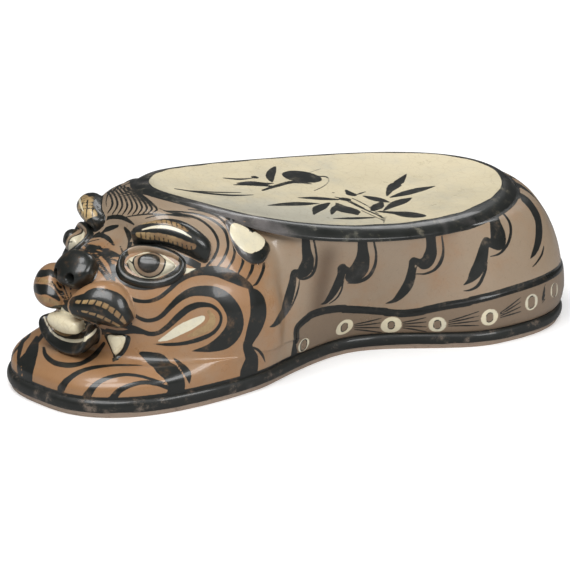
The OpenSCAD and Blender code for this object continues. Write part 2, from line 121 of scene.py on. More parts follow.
# The stage, in metres: how the floor grows whiter, and lamps of name, place, size, setting and share of it
SENSOR_WIDTH, FLOOR_REACH, FLOOR_GRAIN = 36.0, 4.0, 0.97
LIFT_NEAR, LIFT_FAR, LIFT_GROWTH = 0.3, 1.2, 3.2
LAMP_AIM = (0, 0, 0.05)
LAMPS = (
    ("key", (-0.75, -0.55, 1.25), (1.2, 0.85), "key_power", 1.0),
    ("fill", (0.45, -1.2, 0.75), (0.8, 0.5), "fill_power", 1.0),
    ("back", (1.0, 0.5, 1.2), (0.8, 0.4), "fill_power", 0.5),
    ("top", (-0.35, 0.2, 1.3), (0.5, 0.4), "fill_power", 0.5),
)


def lerp(a, b, t):
    return a + (b - a) * t


def ease(t):
    t = np.clip(t, 0, 1)
    return t * t * (3 - 2 * t)


def bell(distance, width):
    return np.exp(-(distance / width) ** 2)


def spline(table, t, own_column=False):
    """Catmull-Rom along the first axis of a table, at places t, each in a column of its own if asked."""
    table, t = np.asarray(table, float), np.asarray(t, float)
    last = len(table) - 1
    i = np.clip(np.floor(t).astype(int), 0, last - 1)
    f = t - i
    rows = [np.clip(i + k, 0, last) for k in (-1, 0, 1, 2)]
    if own_column:
        a, b, c, d = (np.take_along_axis(table, row[None], 0)[0] for row in rows)
    else:
        f = f.reshape(f.shape + (1,) * (table.ndim - 1))
        a, b, c, d = (table[row] for row in rows)
    square, cube = 2 * a - 5 * b + 4 * c - d, 3 * b - a - 3 * c + d
    return b + (c - a) * f / 2 + square * f ** 2 / 2 + cube * f ** 3 / 2


def spot(walk):
    """The place along the length from which the wall's radius is measured."""
    return np.where(walk < 0, NECK_X, np.minimum(NECK_X + walk, LOIN_X))


def heading(walk):
    """The direction of that radius: a fan at each end, and square to the barrel between them."""
    front = math.pi / 2 + walk / FAN_RADIUS
    rear = (walk - BARREL) / FAN_RADIUS
    x = np.where(walk < 0, -np.cos(front), np.where(walk < BARREL, 0, np.sin(rear)))
    y = np.where(walk < 0, -np.sin(front), np.where(walk < BARREL, -1, -np.cos(rear)))
    return x, y


def oval(x, y, along, across, power):
    return ((np.abs(x) / along) ** power + (np.abs(y) / across) ** power) ** (-1 / power)


def foot_radius(walk):
    dx, dy = heading(walk)
    x = spot(walk)
    before = lerp(CHEST_WIDTH, WAIST_WIDTH, ease((x - NECK_X) / (WAIST_X - NECK_X))) / 2
    after = lerp(WAIST_WIDTH, RUMP_WIDTH, ease((x - WAIST_X) / (LOIN_X - WAIST_X))) / 2
    side = np.where(x < WAIST_X, before, after)
    chest = oval(dx, dy, CHEST_REACH, CHEST_WIDTH / 2, CHEST_POWER)
    rump = oval(dx, dy, RUMP_REACH, RUMP_WIDTH / 2, RUMP_POWER)
    return np.where(walk < 0, chest, np.where(walk > BARREL, rump, side))


def rest_radius(walk, grow):
    dx, dy = heading(walk)
    c, a, b0 = spot(walk) - REST_X, REST_LENGTH / 2 + grow, REST_WIDTH / 2 + grow
    b = b0
    for _ in range(4):
        p, q, r = (dx / a) ** 2 + (dy / b) ** 2, c * dx / (a * a), (c / a) ** 2 - 1
        radius = (np.sqrt(q * q - p * r) - q) / p
        b = b0 * (1 + REST_EGG * (c + dx * radius) / a)
    return radius


def edge_height(x):
    u = (x - REST_X) / 100
    return REST_HEIGHT - REST_SLOPE * u + REST_CURVE * u * u


def rim_height(x):
    return edge_height(x) - lerp(BAND_DROP, BAND_DROP / 3, ease((REST_X - x) / 100 - 0.55))


def face_levels(walk, foot, rim):
    """Radii of the face at each level, from the foot up to the rim."""
    turn = np.abs(math.pi / 2 + np.minimum(walk, 0) / FAN_RADIUS)
    snout, side, apron = bell(np.degrees(turn), SNOUT_SPREAD), np.sin(turn) ** 2, foot - FACE_RADIUS + 1
    r = FACE_RADIUS
    return np.stack([
        foot, foot - 0.03 * apron, foot - 0.16 * apron, foot - 0.42 * apron,
        r - 1 + 6 * snout - side + 0.25 * np.maximum(0, apron) * (1 - snout), r + 0.5 + 13 * snout - side,
        r - 1 + 14 * snout - side, r - 6 + 12 * snout, r - 11 + 5 * snout + 3 * side,
        r - 18 - 7 * snout + 5 * side, r - 25 - 4 * snout + 5 * side,
        lerp(r - 32 - snout + 4 * side, rim, 0.1), rim])


def flank_levels(foot, rim):
    """Radii of the flank at each level, rolled over towards the rim."""
    rows = []
    over = np.clip((rim - foot) / OVERHANG_RUN, 0, 1)
    for t in LADDER / LADDER[TOP]:
        roll = 1 - max(0, 1 - t ** ROLL_POWER) ** (1 / ROLL_POWER)
        swell = FLANK_SWELL * math.sin(math.pi * t ** SWELL_POWER)
        rows.append(lerp(foot, rim, lerp(roll, t, over)) + swell * (1 - over))
    return np.stack(rows)


def wall_point(walk, level):
    """Points on the left wall, before the head is turned and the headrest leaned."""
    walk, level = np.broadcast_arrays(np.asarray(walk, float), np.asarray(level, float))
    dx, dy = heading(walk)
    x, foot, rim = spot(walk), foot_radius(walk) - BEAD_OUT, rest_radius(walk, BAND_WIDTH + GAP)
    table = lerp(face_levels(walk, foot, rim), flank_levels(foot, rim), ease(walk / CHEEK_WALK))
    crease = CREASE_DEPTH * bell(walk - SEAM, CREASE_WIDTH) * bell(level - CREASE_LEVEL, CREASE_TALL)
    r = spline(table, level, own_column=True) - crease
    z = FOOT_HEIGHT + (rim_height(x + dx * rim) - FOOT_HEIGHT) * spline(LADDER, level) / LADDER[TOP]
    return np.stack([x + dx * r, dy * r, z], -1)


def on_wall(walk, level, out):
    """Points at a distance outside the wall, square to it."""
    walk, level = np.broadcast_arrays(np.asarray(walk, float), np.asarray(level, float))
    step = np.where(level > TOP - 2 * LEVEL_STEP, -LEVEL_STEP, LEVEL_STEP)
    p = wall_point(walk, level)
    along = wall_point(walk + WALK_STEP, level) - p
    up = (wall_point(walk, level + step) - p) * np.sign(step)[..., None]
    normal = np.cross(along, up)
    normal /= np.linalg.norm(normal, axis=-1, keepdims=True)
    return p + normal * np.asarray(out)[..., None]


def level_at(height):
    return np.interp(np.asarray(height) - FOOT_HEIGHT, LADDER, np.arange(TOP + 1))


def round_face(angle):
    return math.radians(angle - 90) * FAN_RADIUS


def head_turn(x):
    return HEAD_TURN * ease((TURN_START - x) / TURN_RUN)


def rest_tilt(x, y):
    return 1 + LEAN * y / REST_HEIGHT * ease((x - LEAN_START) / LEAN_RUN)


def settle(p):
    """Turns the head about the neck, leans the headrest, and brings the origin to the box's middle."""
    turn, tilt = head_turn(p[..., 0]), rest_tilt(p[..., 0], p[..., 1])
    x, y = p[..., 0] - TURN_CENTRE, p[..., 1]
    return np.stack([TURN_CENTRE + x * np.cos(turn) - y * np.sin(turn),
                     x * np.sin(turn) + y * np.cos(turn), p[..., 2] * tilt], -1) - BOX_MIDDLE


def unsettle(p):
    """The place before settling, found by steps because the turn depends on it."""
    q = p + BOX_MIDDLE
    x, u = q[..., 0], q[..., 0] - TURN_CENTRE
    for _ in range(20):
        turn = head_turn(x)
        x = TURN_CENTRE + u * np.cos(turn) + q[..., 1] * np.sin(turn)
    y = q[..., 1] * np.cos(turn) - u * np.sin(turn)
    return np.stack([x, y, q[..., 2] / rest_tilt(x, y)], -1)


def flip(p):
    return p * np.array([1, -1, 1])


def placed(grid, side):
    """A grid settled on the left (-1) or, turned over, on the right (1) side."""
    return settle(flip(grid) if side > 0 else grid)


def mirror(p):
    """The matching place on the tiger's other side."""
    return settle(flip(unsettle(p)))


def clay_noise(p, size, seed):
    """Smooth unevenness of hand-pressed clay, between -1 and 1, at points in millimetres."""
    flat = p.reshape(-1, 3) / size + seed * SEED_STEP
    return np.array([noise.noise(v) for v in flat.tolist()]).reshape(p.shape[:-1])


# Meshes
def zip_rows(a, b):
    """Triangles between two lines of point numbers with different counts."""
    faces, i, j = [], 0, 0
    while i < len(a) - 1 or j < len(b) - 1:
        if j == len(b) - 1 or (i < len(a) - 1 and (i + 1) / (len(a) - 1) <= (j + 1) / (len(b) - 1)):
            faces.append((a[i], a[i + 1], b[j]))
            i += 1
        else:
            faces.append((a[i], b[j + 1], b[j]))
            j += 1
    return faces


def grid_faces(ids):
    return np.stack([ids[:-1, :-1], ids[:-1, 1:], ids[1:, 1:], ids[1:, :-1]], -1).reshape(-1, 4).tolist()


def shell_faces(outer, inner):
    """Faces of a closed sheet between a fine outer grid and a coarser inner one, of point numbers."""
    faces = grid_faces(outer) + [f[::-1] for f in grid_faces(inner)]
    faces += zip_rows(outer[:, 0], inner[:, 0])
    faces += [f[::-1] for f in zip_rows(outer[:, -1], inner[:, -1])]
    faces += [f[::-1] for f in zip_rows(outer[0], inner[0])]
    faces += zip_rows(outer[-1], inner[-1])
    return faces


def rungs(ring):
    """Faces that close a ring of point numbers, between its left and right halves."""
    m = len(ring)
    faces = []
    for i in range(m // 2):
        loop = [ring[i], ring[i + 1], ring[m - 1 - i], ring[(m - i) % m]]
        faces.append(tuple(dict.fromkeys(loop)))
    return [f for f in faces if len(f) > 2]


def drum_faces(rings, columns):
    """Faces of a closed drum of rings, with its first and last ring filled."""
    ids = np.arange(rings * columns).reshape(rings, columns)
    faces = grid_faces(np.concatenate([ids, ids[:, :1]], 1))
    return faces + [f[::-1] for f in rungs(ids[0])] + rungs(ids[-1])


def clay_object(name, points, faces, material, nodes, fields):
    """A piece in metres from points in millimetres, with its brush fields, riding on the body."""
    name += "_glazed"
    mesh = bpy.data.meshes.new(name)
    mesh.from_pydata((np.asarray(points) / 1000).tolist(), [], [tuple(int(i) for i in f) for f in faces])
    mesh.validate()
    solid = bmesh.new()
    solid.from_mesh(mesh)
    if solid.calc_volume(signed=True) < 0:
        mesh.flip_normals()
    solid.free()
    for key, values in fields.items():
        attribute = mesh.attributes.new(key, "FLOAT", "POINT")
        full = np.full(len(points), FAR_OUTSIDE if key.endswith("_field") else 0.0)
        full[:len(values)] = values
        attribute.data.foreach_set("value", full.astype(np.float32))
    mesh.shade_smooth()
    mesh.set_sharp_from_angle(angle=SHARP_ANGLE)
    mesh.materials.append(material)
    piece = bpy.data.objects.new(name, mesh)
    bpy.context.collection.objects.link(piece)
    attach(piece, "root")
    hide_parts(*nodes)


# Brush work
def camera_axes():
    a, e = CAMERA_AZIMUTH, CAMERA_PITCH
    forward = -np.array([math.sin(a) * math.cos(e), -math.cos(a) * math.cos(e), math.sin(e)])
    right = np.cross(forward, [0, 0, 1])
    right /= np.linalg.norm(right)
    return forward, right, np.cross(right, forward)


FORWARD, RIGHT, UP = camera_axes()


def picture_point(p, surface):
    """The clay seen at a picture place, or None."""
    ray = FORWARD * FOCAL_PIXELS + RIGHT * (p[0] - PICTURE_SIDE / 2) - UP * (p[1] - PICTURE_SIDE / 2)
    hit = surface.ray_cast(Vector(CAMERA_PLACE), Vector(ray).normalized())[0]
    return None if hit is None else np.array(hit)


def surface_of(grids):
    """A surface for rays, from grids of points."""
    points, faces, count = [], [], 0
    for g in grids:
        ids = np.arange(g.shape[0] * g.shape[1]).reshape(g.shape[:2]) + count
        points += g.reshape(-1, 3).tolist()
        faces += grid_faces(ids)
        count += ids.size
    return BVHTree.FromPolygons(points, faces)


def stroke_width(x, y, width, tangent, here, surface, stretch):
    """The width on the clay of a mark seen at a picture place, across the direction of its stroke."""
    tx, ty = tangent
    plain = width / FOCAL_PIXELS * np.linalg.norm(here - CAMERA_PLACE)
    reach = max(width, 2) / 2
    sides = [picture_point((x - ty * k * reach, y + tx * k * reach), surface) for k in (-1, 1)]
    ahead = picture_point((x + tx, y + ty), surface)
    if ahead is None or any(s is None for s in sides):
        return plain
    along = (ahead - here) / (np.linalg.norm(ahead - here) + TINY)
    across = sides[0] - sides[1]
    across = np.linalg.norm(across - along * (across @ along))
    return min(stretch * plain, across * width / (2 * reach))


def carry(strokes, crop, surface, both_sides=True, stretch=1.8):
    """Carries strokes of (x, y, width) in a crop onto a surface, as lines of (x, y, z, half width)."""
    lines = []
    for stroke in strokes:
        marks = np.array(stroke, float)
        length = np.linalg.norm(np.diff(marks[:, :2], axis=0), axis=1).sum()
        marks = spline(marks, np.linspace(0, len(marks) - 1, max(2, int(length / MARK_STEP))))
        marks = marks / crop[2] + np.array([crop[0], crop[1], 0])
        tangents = np.gradient(marks[:, :2], axis=0)
        tangents /= np.linalg.norm(tangents, axis=1, keepdims=True) + TINY
        line = []
        for (x, y, width), tangent in zip(marks, tangents):
            here = picture_point((x, y), surface)
            if here is None:
                continue
            if line and np.linalg.norm(line[-1][:3] - here) > LARGEST_JUMP:
                lines.append(np.array(line))
                line = []
            line.append(np.append(here, stroke_width(x, y, width, tangent, here, surface, stretch) / 2))
        if line:
            lines.append(np.array(line))
    return lines + mirrored(lines) if both_sides else lines


def mirrored(lines):
    return [np.column_stack([mirror(line[:, :3]), line[:, 3]]) for line in lines]


def wall_strokes(strokes):
    """Strokes of (walk, height, width), in millimetres on the wall, as brush lines on both sides."""
    lines = []
    for stroke in strokes:
        marks = np.array(stroke, float)
        marks = spline(marks, np.linspace(0, len(marks) - 1, WALL_MARKS * len(marks)))
        place = settle(wall_point(marks[:, 0], level_at(marks[:, 1])))
        lines.append(np.column_stack([place, marks[:, 2] / 2]))
    return lines + mirrored(lines)


def brush_field(points, lines):
    """How far each point lies inside the nearest stroke, in millimetres; negative outside."""
    field = np.full(len(points), FAR_OUTSIDE)
    for line in lines:
        reach = line[:, 3].max() + BRUSH_MARGIN
        low, high = line[:, :3].min(0) - reach, line[:, :3].max(0) + reach
        near = np.nonzero(np.all((points > low) & (points < high), 1))[0]
        if not len(near):
            continue
        p = points[near]
        best = line[0, 3] - np.linalg.norm(p - line[0, :3], axis=1)
        for a, b in zip(line[:-1], line[1:]):
            d = b[:3] - a[:3]
            t = np.clip((p - a[:3]) @ d / (d @ d + TINY), 0, 1)
            inside = lerp(a[3], b[3], t) - np.linalg.norm(p - a[:3] - t[:, None] * d, axis=1)
            best = np.maximum(best, inside)
        field[near] = np.maximum(field[near], best)
    return field


# Strokes on the head, given in the face crop as x, y and width
CHEEK_STROKES = [
    [(560, 575, 10), (600, 615, 16), (650, 650, 18), (705, 680, 20), (770, 687, 20), (830, 668, 22),
     (880, 630, 22), (930, 585, 24), (985, 552, 28), (1050, 530, 42), (1130, 530, 56), (1210, 556, 62),
     (1290, 598, 40), (1322, 614, 8)],
    [(650, 690, 12), (690, 745, 16), (740, 780, 20), (790, 786, 22), (840, 766, 24), (890, 716, 28),
     (940, 670, 36), (1000, 638, 46), (1070, 632, 56), (1135, 645, 64), (1190, 690, 76), (1228, 760, 84),
     (1225, 830, 90), (1180, 890, 84), (1110, 925, 50), (1060, 938, 26), (1000, 946, 4)],
    [(650, 812, 30), (720, 835, 28), (780, 856, 24), (830, 850, 24), (880, 816, 28), (930, 768, 34),
     (990, 722, 36), (1050, 704, 30), (1110, 712, 20), (1150, 750, 16), (1152, 800, 16), (1115, 850, 20),
     (1050, 882, 24), (960, 906, 20), (870, 912, 16), (780, 904, 4)],
    [(1310, 628, 24), (1345, 680, 76), (1352, 750, 84), (1335, 820, 76), (1305, 890, 50), (1295, 925, 50),
     (1312, 985, 66), (1305, 1040, 84), (1290, 1085, 90)],
    [(1300, 918, 6), (1345, 938, 14), (1372, 968, 14), (1386, 1004, 4)],
    [(455, 395, 12), (520, 435, 14), (570, 485, 14), (590, 540, 14), (600, 600, 12)],
    [(470, 470, 8), (520, 520, 12), (565, 575, 12), (620, 640, 14), (655, 700, 14)],
    [(430, 390, 10), (500, 400, 14), (560, 430, 12), (590, 470, 8)],
    [(760, 252, 5), (846, 234, 8), (939, 236, 10), (1024, 250, 12), (1090, 292, 13), (1130, 345, 15),
     (1140, 400, 15), (1118, 458, 15), (1080, 502, 10)],
    [(860, 214, 5), (955, 219, 9), (1047, 235, 12), (1122, 268, 13), (1175, 318, 15), (1192, 395, 15),
     (1168, 465, 15), (1130, 512, 8)],
    [(985, 206, 6), (1062, 216, 10), (1135, 243, 12), (1182, 285, 13), (1206, 340, 13), (1226, 415, 14),
     (1216, 472, 14), (1185, 520, 8)],
    [(1262, 430, 10), (1270, 480, 15), (1245, 540, 10)],
    [(1322, 455, 14), (1318, 515, 18), (1288, 575, 10)],
    [(1378, 455, 10), (1376, 520, 16), (1345, 588, 14), (1322, 604, 6)],
]
CREAM_COMMA = [[(822, 897, 4), (880, 872, 34), (940, 836, 50), (1000, 806, 50), (1050, 780, 34),
                (1066, 768, 10)]]
GOLD_END = [[(1092, 742, 18), (1110, 778, 34), (1092, 820, 44), (1040, 848, 36), (985, 868, 14)]]
CHEST_STROKES = [
    [(228, 925, 14), (240, 970, 24), (290, 1008, 28), (370, 1020, 28), (440, 1004, 26), (500, 962, 26),
     (545, 905, 18)],
    [(192, 868, 10), (172, 925, 52), (152, 990, 70), (142, 1050, 60), (148, 1092, 40)],
    [(150, 822, 6), (118, 890, 22), (100, 960, 20), (92, 1015, 5)],
    [(318, 1145, 44), (350, 1100, 32), (410, 1058, 24), (480, 1034, 20), (570, 1022, 18), (680, 1020, 12),
     (748, 1022, 4)],
    [(455, 1180, 44), (500, 1122, 30), (560, 1088, 22), (640, 1070, 18), (720, 1075, 16), (800, 1096, 14),
     (858, 1112, 6)],
    [(588, 1200, 44), (622, 1155, 32), (680, 1126, 24), (750, 1110, 22), (820, 1118, 22),
     (884, 1142, 20)],
    [(728, 955, 10), (770, 972, 46), (830, 1008, 84), (890, 1058, 92), (922, 1112, 90), (918, 1168, 86)],
    [(903, 980, 4), (945, 1018, 26), (980, 1062, 36), (992, 1118, 5)],
]
BROW_GOLD = [[(746, 280, 14), (800, 268, 20), (860, 270, 22), (920, 286, 22), (978, 316, 14)],
             [(719, 339, 24), (792, 354, 42), (870, 372, 50), (946, 392, 48), (1010, 400, 30)]]
FAR_BROW_GOLD = [[(405, 225, 40), (425, 195, 80), (470, 182, 100), (520, 192, 90), (548, 225, 44)]]
FAR_BROW_LINES = [[(420, 235, 6), (432, 170, 6)], [(450, 245, 6), (458, 160, 7)],
                  [(482, 242, 6), (488, 162, 7)], [(512, 240, 6), (518, 170, 6)],
                  [(405, 210, 5), (470, 200, 6), (540, 214, 5)]]
BROW_CREAM = [[(742, 312, 6), (800, 299, 14), (870, 298, 18), (940, 318, 16), (1000, 352, 6)]]
BROW_LINES = [[(x - 3, 318 + 0.29 * (x - 720), 6), (x + 3, 364 + 0.24 * (x - 720), 7)]
              for x in range(738, 1010, 24)]
BROW_LINES += [[(x, 256 + 0.0014 * (x - 825) ** 2, 6), (x + 8, 282 + 0.0014 * (x - 825) ** 2, 7)]
               for x in range(762, 980, 26)]
EYE_CORNERS = [
    [(590, 500, 22), (618, 545, 34), (668, 588, 42), (740, 606, 44), (815, 598, 42), (880, 562, 34),
     (925, 518, 20), (944, 488, 6)],
    [(640, 448, 22), (690, 425, 20), (760, 402, 18), (840, 408, 20), (905, 434, 26), (965, 468, 34),
     (1030, 494, 44)],
    [(596, 470, 10), (640, 486, 10), (680, 512, 8)],
]
# Ink marks on the eyeball's white; the last mark is painted shade in the eye's outer corner
EYE_MARKS_AND_CORNER_SHADE = [[(664, 488, 6), (684, 528, 9), (722, 552, 6)], [(676, 474, 5), (700, 492, 6)],
             [(942, 494, 6), (924, 522, 16), (898, 544, 8)]]
EYE_CREAM = [[(935, 528, 34), (985, 526, 26), (1028, 520, 8)]]
BRIDGE_STROKES = [
    [(448, 396, 12), (494, 442, 13), (543, 502, 10), (591, 575, 9), (639, 626, 6)],
    [(513, 391, 10), (555, 442, 13), (585, 496, 9)],
    [(470, 436, 8), (513, 484, 9), (567, 539, 7)],
    [(480, 484, 6), (531, 521, 7), (585, 575, 7), (627, 641, 5)],
    [(651, 303, 12), (672, 334, 28), (682, 372, 26), (668, 424, 14)],
    [(627, 396, 8), (642, 436, 11), (639, 472, 7)],
]
FOREHEAD_STROKES = [
    [(lerp(540, 735, t), lerp(105, 125, t) - 34 * math.sin(math.pi * t), 9),
     (lerp(575, 790, t), lerp(130, 170, t) - 12 * math.sin(math.pi * t), 11),
     (lerp(588, 820, t), lerp(180, 205, t), 11),
     (lerp(562, 800, t), lerp(226, 222, t) + 8 * math.sin(math.pi * t), 5)]
    for t in np.linspace(0, 1, 10)] + [
    [(640, 250, 4), (703, 238, 7), (794, 230, 7), (903, 237, 7), (993, 251, 4)],
    [(834, 201, 4), (880, 219, 7), (948, 230, 7), (1010, 240, 4)],
    [(536, 268, 10), (573, 248, 20), (627, 246, 24), (675, 267, 18), (700, 285, 8)],
    [(494, 350, 8), (531, 342, 22), (567, 360, 24), (597, 396, 10)],
    [(452, 328, 5), (506, 312, 9), (555, 312, 5)],
]
MOUTH_STROKES = [
    [(216, 742, 26), (232, 790, 40), (262, 850, 50), (330, 900, 60), (420, 895, 70), (480, 850, 60),
     (500, 815, 30)],
    [(330, 700, 40), (372, 730, 60), (430, 800, 60), (470, 830, 50), (540, 846, 30)],
    [(560, 838, 20), (620, 850, 24), (690, 846, 20), (740, 850, 18)],
]
MOUTH_CREAM = [[(258, 752, 36), (310, 738, 50), (352, 736, 40)]]
PHILTRUM_STROKES = [
    [(330, 600, 8), (350, 650, 8), (368, 690, 6)], [(360, 604, 8), (370, 650, 8), (374, 690, 6)],
    [(300, 590, 8), (326, 640, 8), (356, 690, 6)], [(270, 560, 10), (300, 630, 10), (346, 695, 8)],
]
EAR_HEART = [[(1262, 316, 70), (1270, 335, 100), (1290, 375, 84), (1318, 420, 20)],
             [(1358, 345, 60), (1350, 362, 84), (1336, 395, 60), (1318, 424, 14)]]
EAR_NOTCH = [[(1322, 278, 30), (1312, 300, 20), (1304, 322, 4)]]
PAD_BLACK = [[(374, 684, 44), (400, 690, 74), (440, 700, 110), (500, 722, 150), (560, 744, 170),
              (612, 766, 165), (655, 790, 130), (682, 815, 70)],
             [(372, 720, 44), (405, 770, 66), (465, 812, 70), (540, 840, 66), (625, 848, 56),
              (672, 842, 30)]]
PAD_DASHES = [[(400, 690, 16), (450, 690, 22), (505, 694, 26), (560, 716, 28), (618, 758, 28),
               (655, 800, 16)],
              [(430, 738, 10), (500, 758, 15), (560, 784, 16), (620, 814, 10)]]
FAR_PAD_BLACK = [
    [(292, 457, 16), (244, 466, 24), (205, 496, 30), (187, 536, 34)],
    [(187, 540, 30), (222, 540, 36), (261, 536, 32), (283, 557, 16)],
    [(172, 614, 40), (209, 623, 56), (248, 627, 50), (283, 653, 34), (309, 680, 14)],
    [(195, 690, 24), (248, 718, 32), (305, 720, 28), (366, 707, 16)],
    [(270, 584, 10), (309, 640, 11), (357, 697, 8)], [(296, 588, 10), (331, 645, 10), (366, 699, 7)],
    [(327, 592, 9), (350, 649, 9), (373, 697, 7)],
]
FAR_PAD_GOLD = [[(185, 575, 20), (231, 579, 24), (270, 597, 14)],
                [(209, 671, 22), (257, 684, 26), (300, 701, 16)]]
PAD_TICKS = [[(x + 12, y - 22, 9), (x - 14, y + 26, 9)] for x, y in (
    (425, 690), (462, 690), (498, 694), (532, 704), (566, 720), (598, 742), (630, 768),
    (462, 746), (502, 760), (542, 776), (582, 794))]
JAW_GOLD = [[(248, 775, 12), (279, 819, 26), (322, 845, 36), (374, 849, 38), (418, 828, 28),
             (440, 810, 10)]]
JAW_CREAM = [[(222, 740, 8), (244, 801, 10), (279, 854, 12), (331, 884, 15), (392, 894, 18),
              (444, 882, 17), (488, 852, 15), (505, 828, 8)]]

# Strokes on the flank and the headrest, given in the flank crop
FLANK_STROKES = [
    [(272, 478, 38), (277, 540, 46), (284, 590, 58), (272, 632, 66), (245, 655, 44), (215, 650, 28),
     (208, 700, 38), (190, 770, 44), (160, 850, 36), (125, 900, 22), (94, 918, 4)],
    [(312, 486, 10), (325, 560, 11), (322, 620, 14), (300, 664, 14), (262, 682, 10), (232, 676, 4)],
    [(243, 682, 5), (236, 730, 9), (218, 785, 8), (196, 832, 4)],
    [(550, 486, 46), (552, 545, 54), (548, 590, 72), (530, 640, 86), (505, 660, 60), (478, 640, 34),
     (450, 625, 34), (445, 665, 40), (428, 710, 40), (400, 760, 32), (370, 795, 16), (348, 804, 4)],
    [(606, 494, 10), (618, 560, 12), (610, 620, 16), (580, 670, 18), (530, 695, 16), (478, 701, 4)],
    [(458, 692, 5), (448, 735, 9), (425, 775, 8), (388, 802, 4)],
    [(885, 464, 48), (888, 520, 50), (882, 565, 62), (862, 600, 60), (830, 600, 40), (796, 590, 26),
     (790, 640, 36), (775, 700, 44), (745, 750, 40), (710, 785, 22), (666, 801, 4)],
    [(940, 472, 8), (947, 540, 12), (935, 595, 18), (905, 635, 14), (860, 655, 10), (812, 656, 4)],
    [(815, 622, 5), (805, 680, 9), (785, 730, 9), (740, 776, 8), (688, 799, 4)],
    [(1192, 348, 40), (1205, 410, 52), (1215, 460, 72), (1215, 500, 70), (1185, 510, 40), (1156, 490, 28),
     (1145, 540, 50), (1130, 600, 60), (1105, 650, 56), (1075, 690, 24), (1046, 710, 4)],
    [(1238, 356, 8), (1270, 400, 12), (1278, 450, 14), (1262, 510, 14), (1225, 555, 12), (1178, 571, 4)],
    [(1162, 600, 5), (1150, 650, 14), (1120, 710, 16), (1080, 735, 10), (1048, 739, 4)],
    [(1335, 265, 8), (1360, 300, 40), (1395, 350, 44), (1415, 410, 34), (1415, 470, 34), (1405, 520, 30),
     (1390, 555, 22), (1374, 580, 4)],
    [(1440, 520, 4), (1430, 560, 10), (1405, 600, 8), (1384, 622, 4)],
]
PANEL_STROKES = [
    [(108, 208, 6), (98, 180, 44), (110, 150, 36), (126, 128, 4)],
    [(196, 192, 20), (215, 181, 44), (245, 180, 54), (280, 184, 46), (310, 184, 22), (342, 176, 4)],
    [(62, 247, 8), (120, 228, 14), (200, 207, 14), (250, 208, 10), (300, 215, 4)],
    [(322, 180, 5), (372, 180, 6), (386, 200, 6), (362, 226, 5), (314, 249, 4)],
    [(290, 160, 3), (345, 141, 3)],
    [(-60, 212, 6), (0, 208, 12), (60, 214, 14), (112, 212, 4)],
    [(22, 183, 18), (26, 182, 18)],
    [(670, 276, 6), (690, 240, 38), (730, 206, 38), (769, 164, 3)],
    [(690, 281, 6), (760, 262, 24), (830, 243, 22), (906, 226, 3)],
    [(655, 346, 6), (700, 320, 28), (745, 300, 30), (793, 282, 3)],
    [(640, 351, 8), (720, 358, 16), (780, 366, 30), (832, 370, 18)],
    [(412, 385, 3), (500, 384, 11), (602, 380, 6)],
    [(88, 321, 3), (180, 315, 17), (260, 312, 17), (337, 311, 3)],
    [(238, 283, 3), (330, 286, 15), (422, 291, 8)],
    [(312, 366, 8), (335, 336, 42), (388, 308, 8)],
    [(400, 366, 8), (410, 340, 32), (427, 317, 6)],
    [(424, 308, 6), (460, 335, 42), (500, 352, 32), (527, 368, 4)],
    [(560, 275, 6), (620, 290, 22), (672, 303, 8)],
    [(600, 346, 14), (625, 326, 46), (646, 304, 14)],
    [(468, 242, 4), (490, 262, 28), (512, 273, 6)],
    [(520, 270, 3), (560, 255, 9), (607, 246, 3)],
    [(460, 290, 5), (540, 330, 6), (640, 376, 6), (655, 408, 5)],
    [(500, 285, 4), (570, 320, 5), (655, 382, 4)],
    [(420, 280, 4), (480, 295, 5), (560, 335, 4)],
    [(655, 408, 6), (668, 372, 4)],
    [(548, 346, 4), (655, 396, 4)],
    [(406, 258, 12), (410, 258, 12)],
    [(463, 290, 16), (468, 291, 16)],
]
# Reeds at the headrest's end near the ear, given in the face crop
REED_STROKES = [
    [(915, 98, 4), (1050, 118, 9), (1200, 132, 9), (1320, 130, 4)],
    [(1000, 108, 3), (1120, 116, 6), (1260, 118, 3)],
    [(1222, 78, 4), (1330, 76, 14), (1425, 86, 6)],
    [(1168, 42, 4), (1250, 48, 9), (1325, 42, 3)],
]
# A stroke at the back of the rump, as walk from its middle, height and width in millimetres
RUMP_STROKE = [(-12, 108, 5), (-11, 97, 7), (-12, 89, 9), (-16, 82, 10), (-21, 79, 6), (-25, 80, 4),
               (-26, 73, 6), (-29, 64, 6), (-34, 57, 4), (-39, 54, 0.6)]
# Strokes at the tail's tip, on the tail and at the rump's edge, given in the flank crop
TAIL_TIP = [[(214, 1092, 40), (218, 1030, 28), (228, 965, 22), (252, 905, 36), (295, 868, 40)]]
TAIL_SPOTS = [(263, 1005, 44), (462, 918, 45), (692, 908, 45), (918, 905, 50), (1175, 870, 48),
              (1380, 795, 48), (1492, 736, 42)]
REAR_LINE = [[(1258, 190, 8), (1310, 216, 22), (1380, 266, 16), (1440, 340, 15), (1486, 432, 15)]]


# Materials
WHITE = (1, 1, 1, 1)
# The dull brown towards which the shade field darkens a colour: painted shade behind the shoulder, and a
# darker tail and panel
SPECK_BROWN, PAINTED_SHADE_AND_DARKENING_TINT, STAIN = (0.10, 0.062, 0.04, 1), (0.40, 0.34, 0.29, 1), (0.55, 0.47, 0.38, 1)
IRON_FRESH, INK_HEIGHT = 0.84, 0.6


def fill(tree, made, inputs):
    """Gives a node's sockets values, or joins them to other sockets."""
    for key, value in inputs.items():
        if isinstance(value, bpy.types.NodeSocket):
            tree.links.new(value, made.inputs[key])
        else:
            made.inputs[key].default_value = value


def node(tree, kind, place, inputs=None, **settings):
    made = tree.nodes.new("ShaderNode" + kind)
    made.location = place
    for key, value in settings.items():
        setattr(made, key, value)
    fill(tree, made, inputs or {})
    return made


def math_node(tree, operation, place, *values):
    return node(tree, "Math", place, dict(enumerate(values)), operation=operation).outputs[0]


def noise_node(tree, place, vector, scale, detail, roughness=0.5):
    sockets = {"Vector": vector, "Scale": scale, "Detail": detail, "Roughness": roughness}
    return node(tree, "TexNoise", place, sockets).outputs["Fac"]


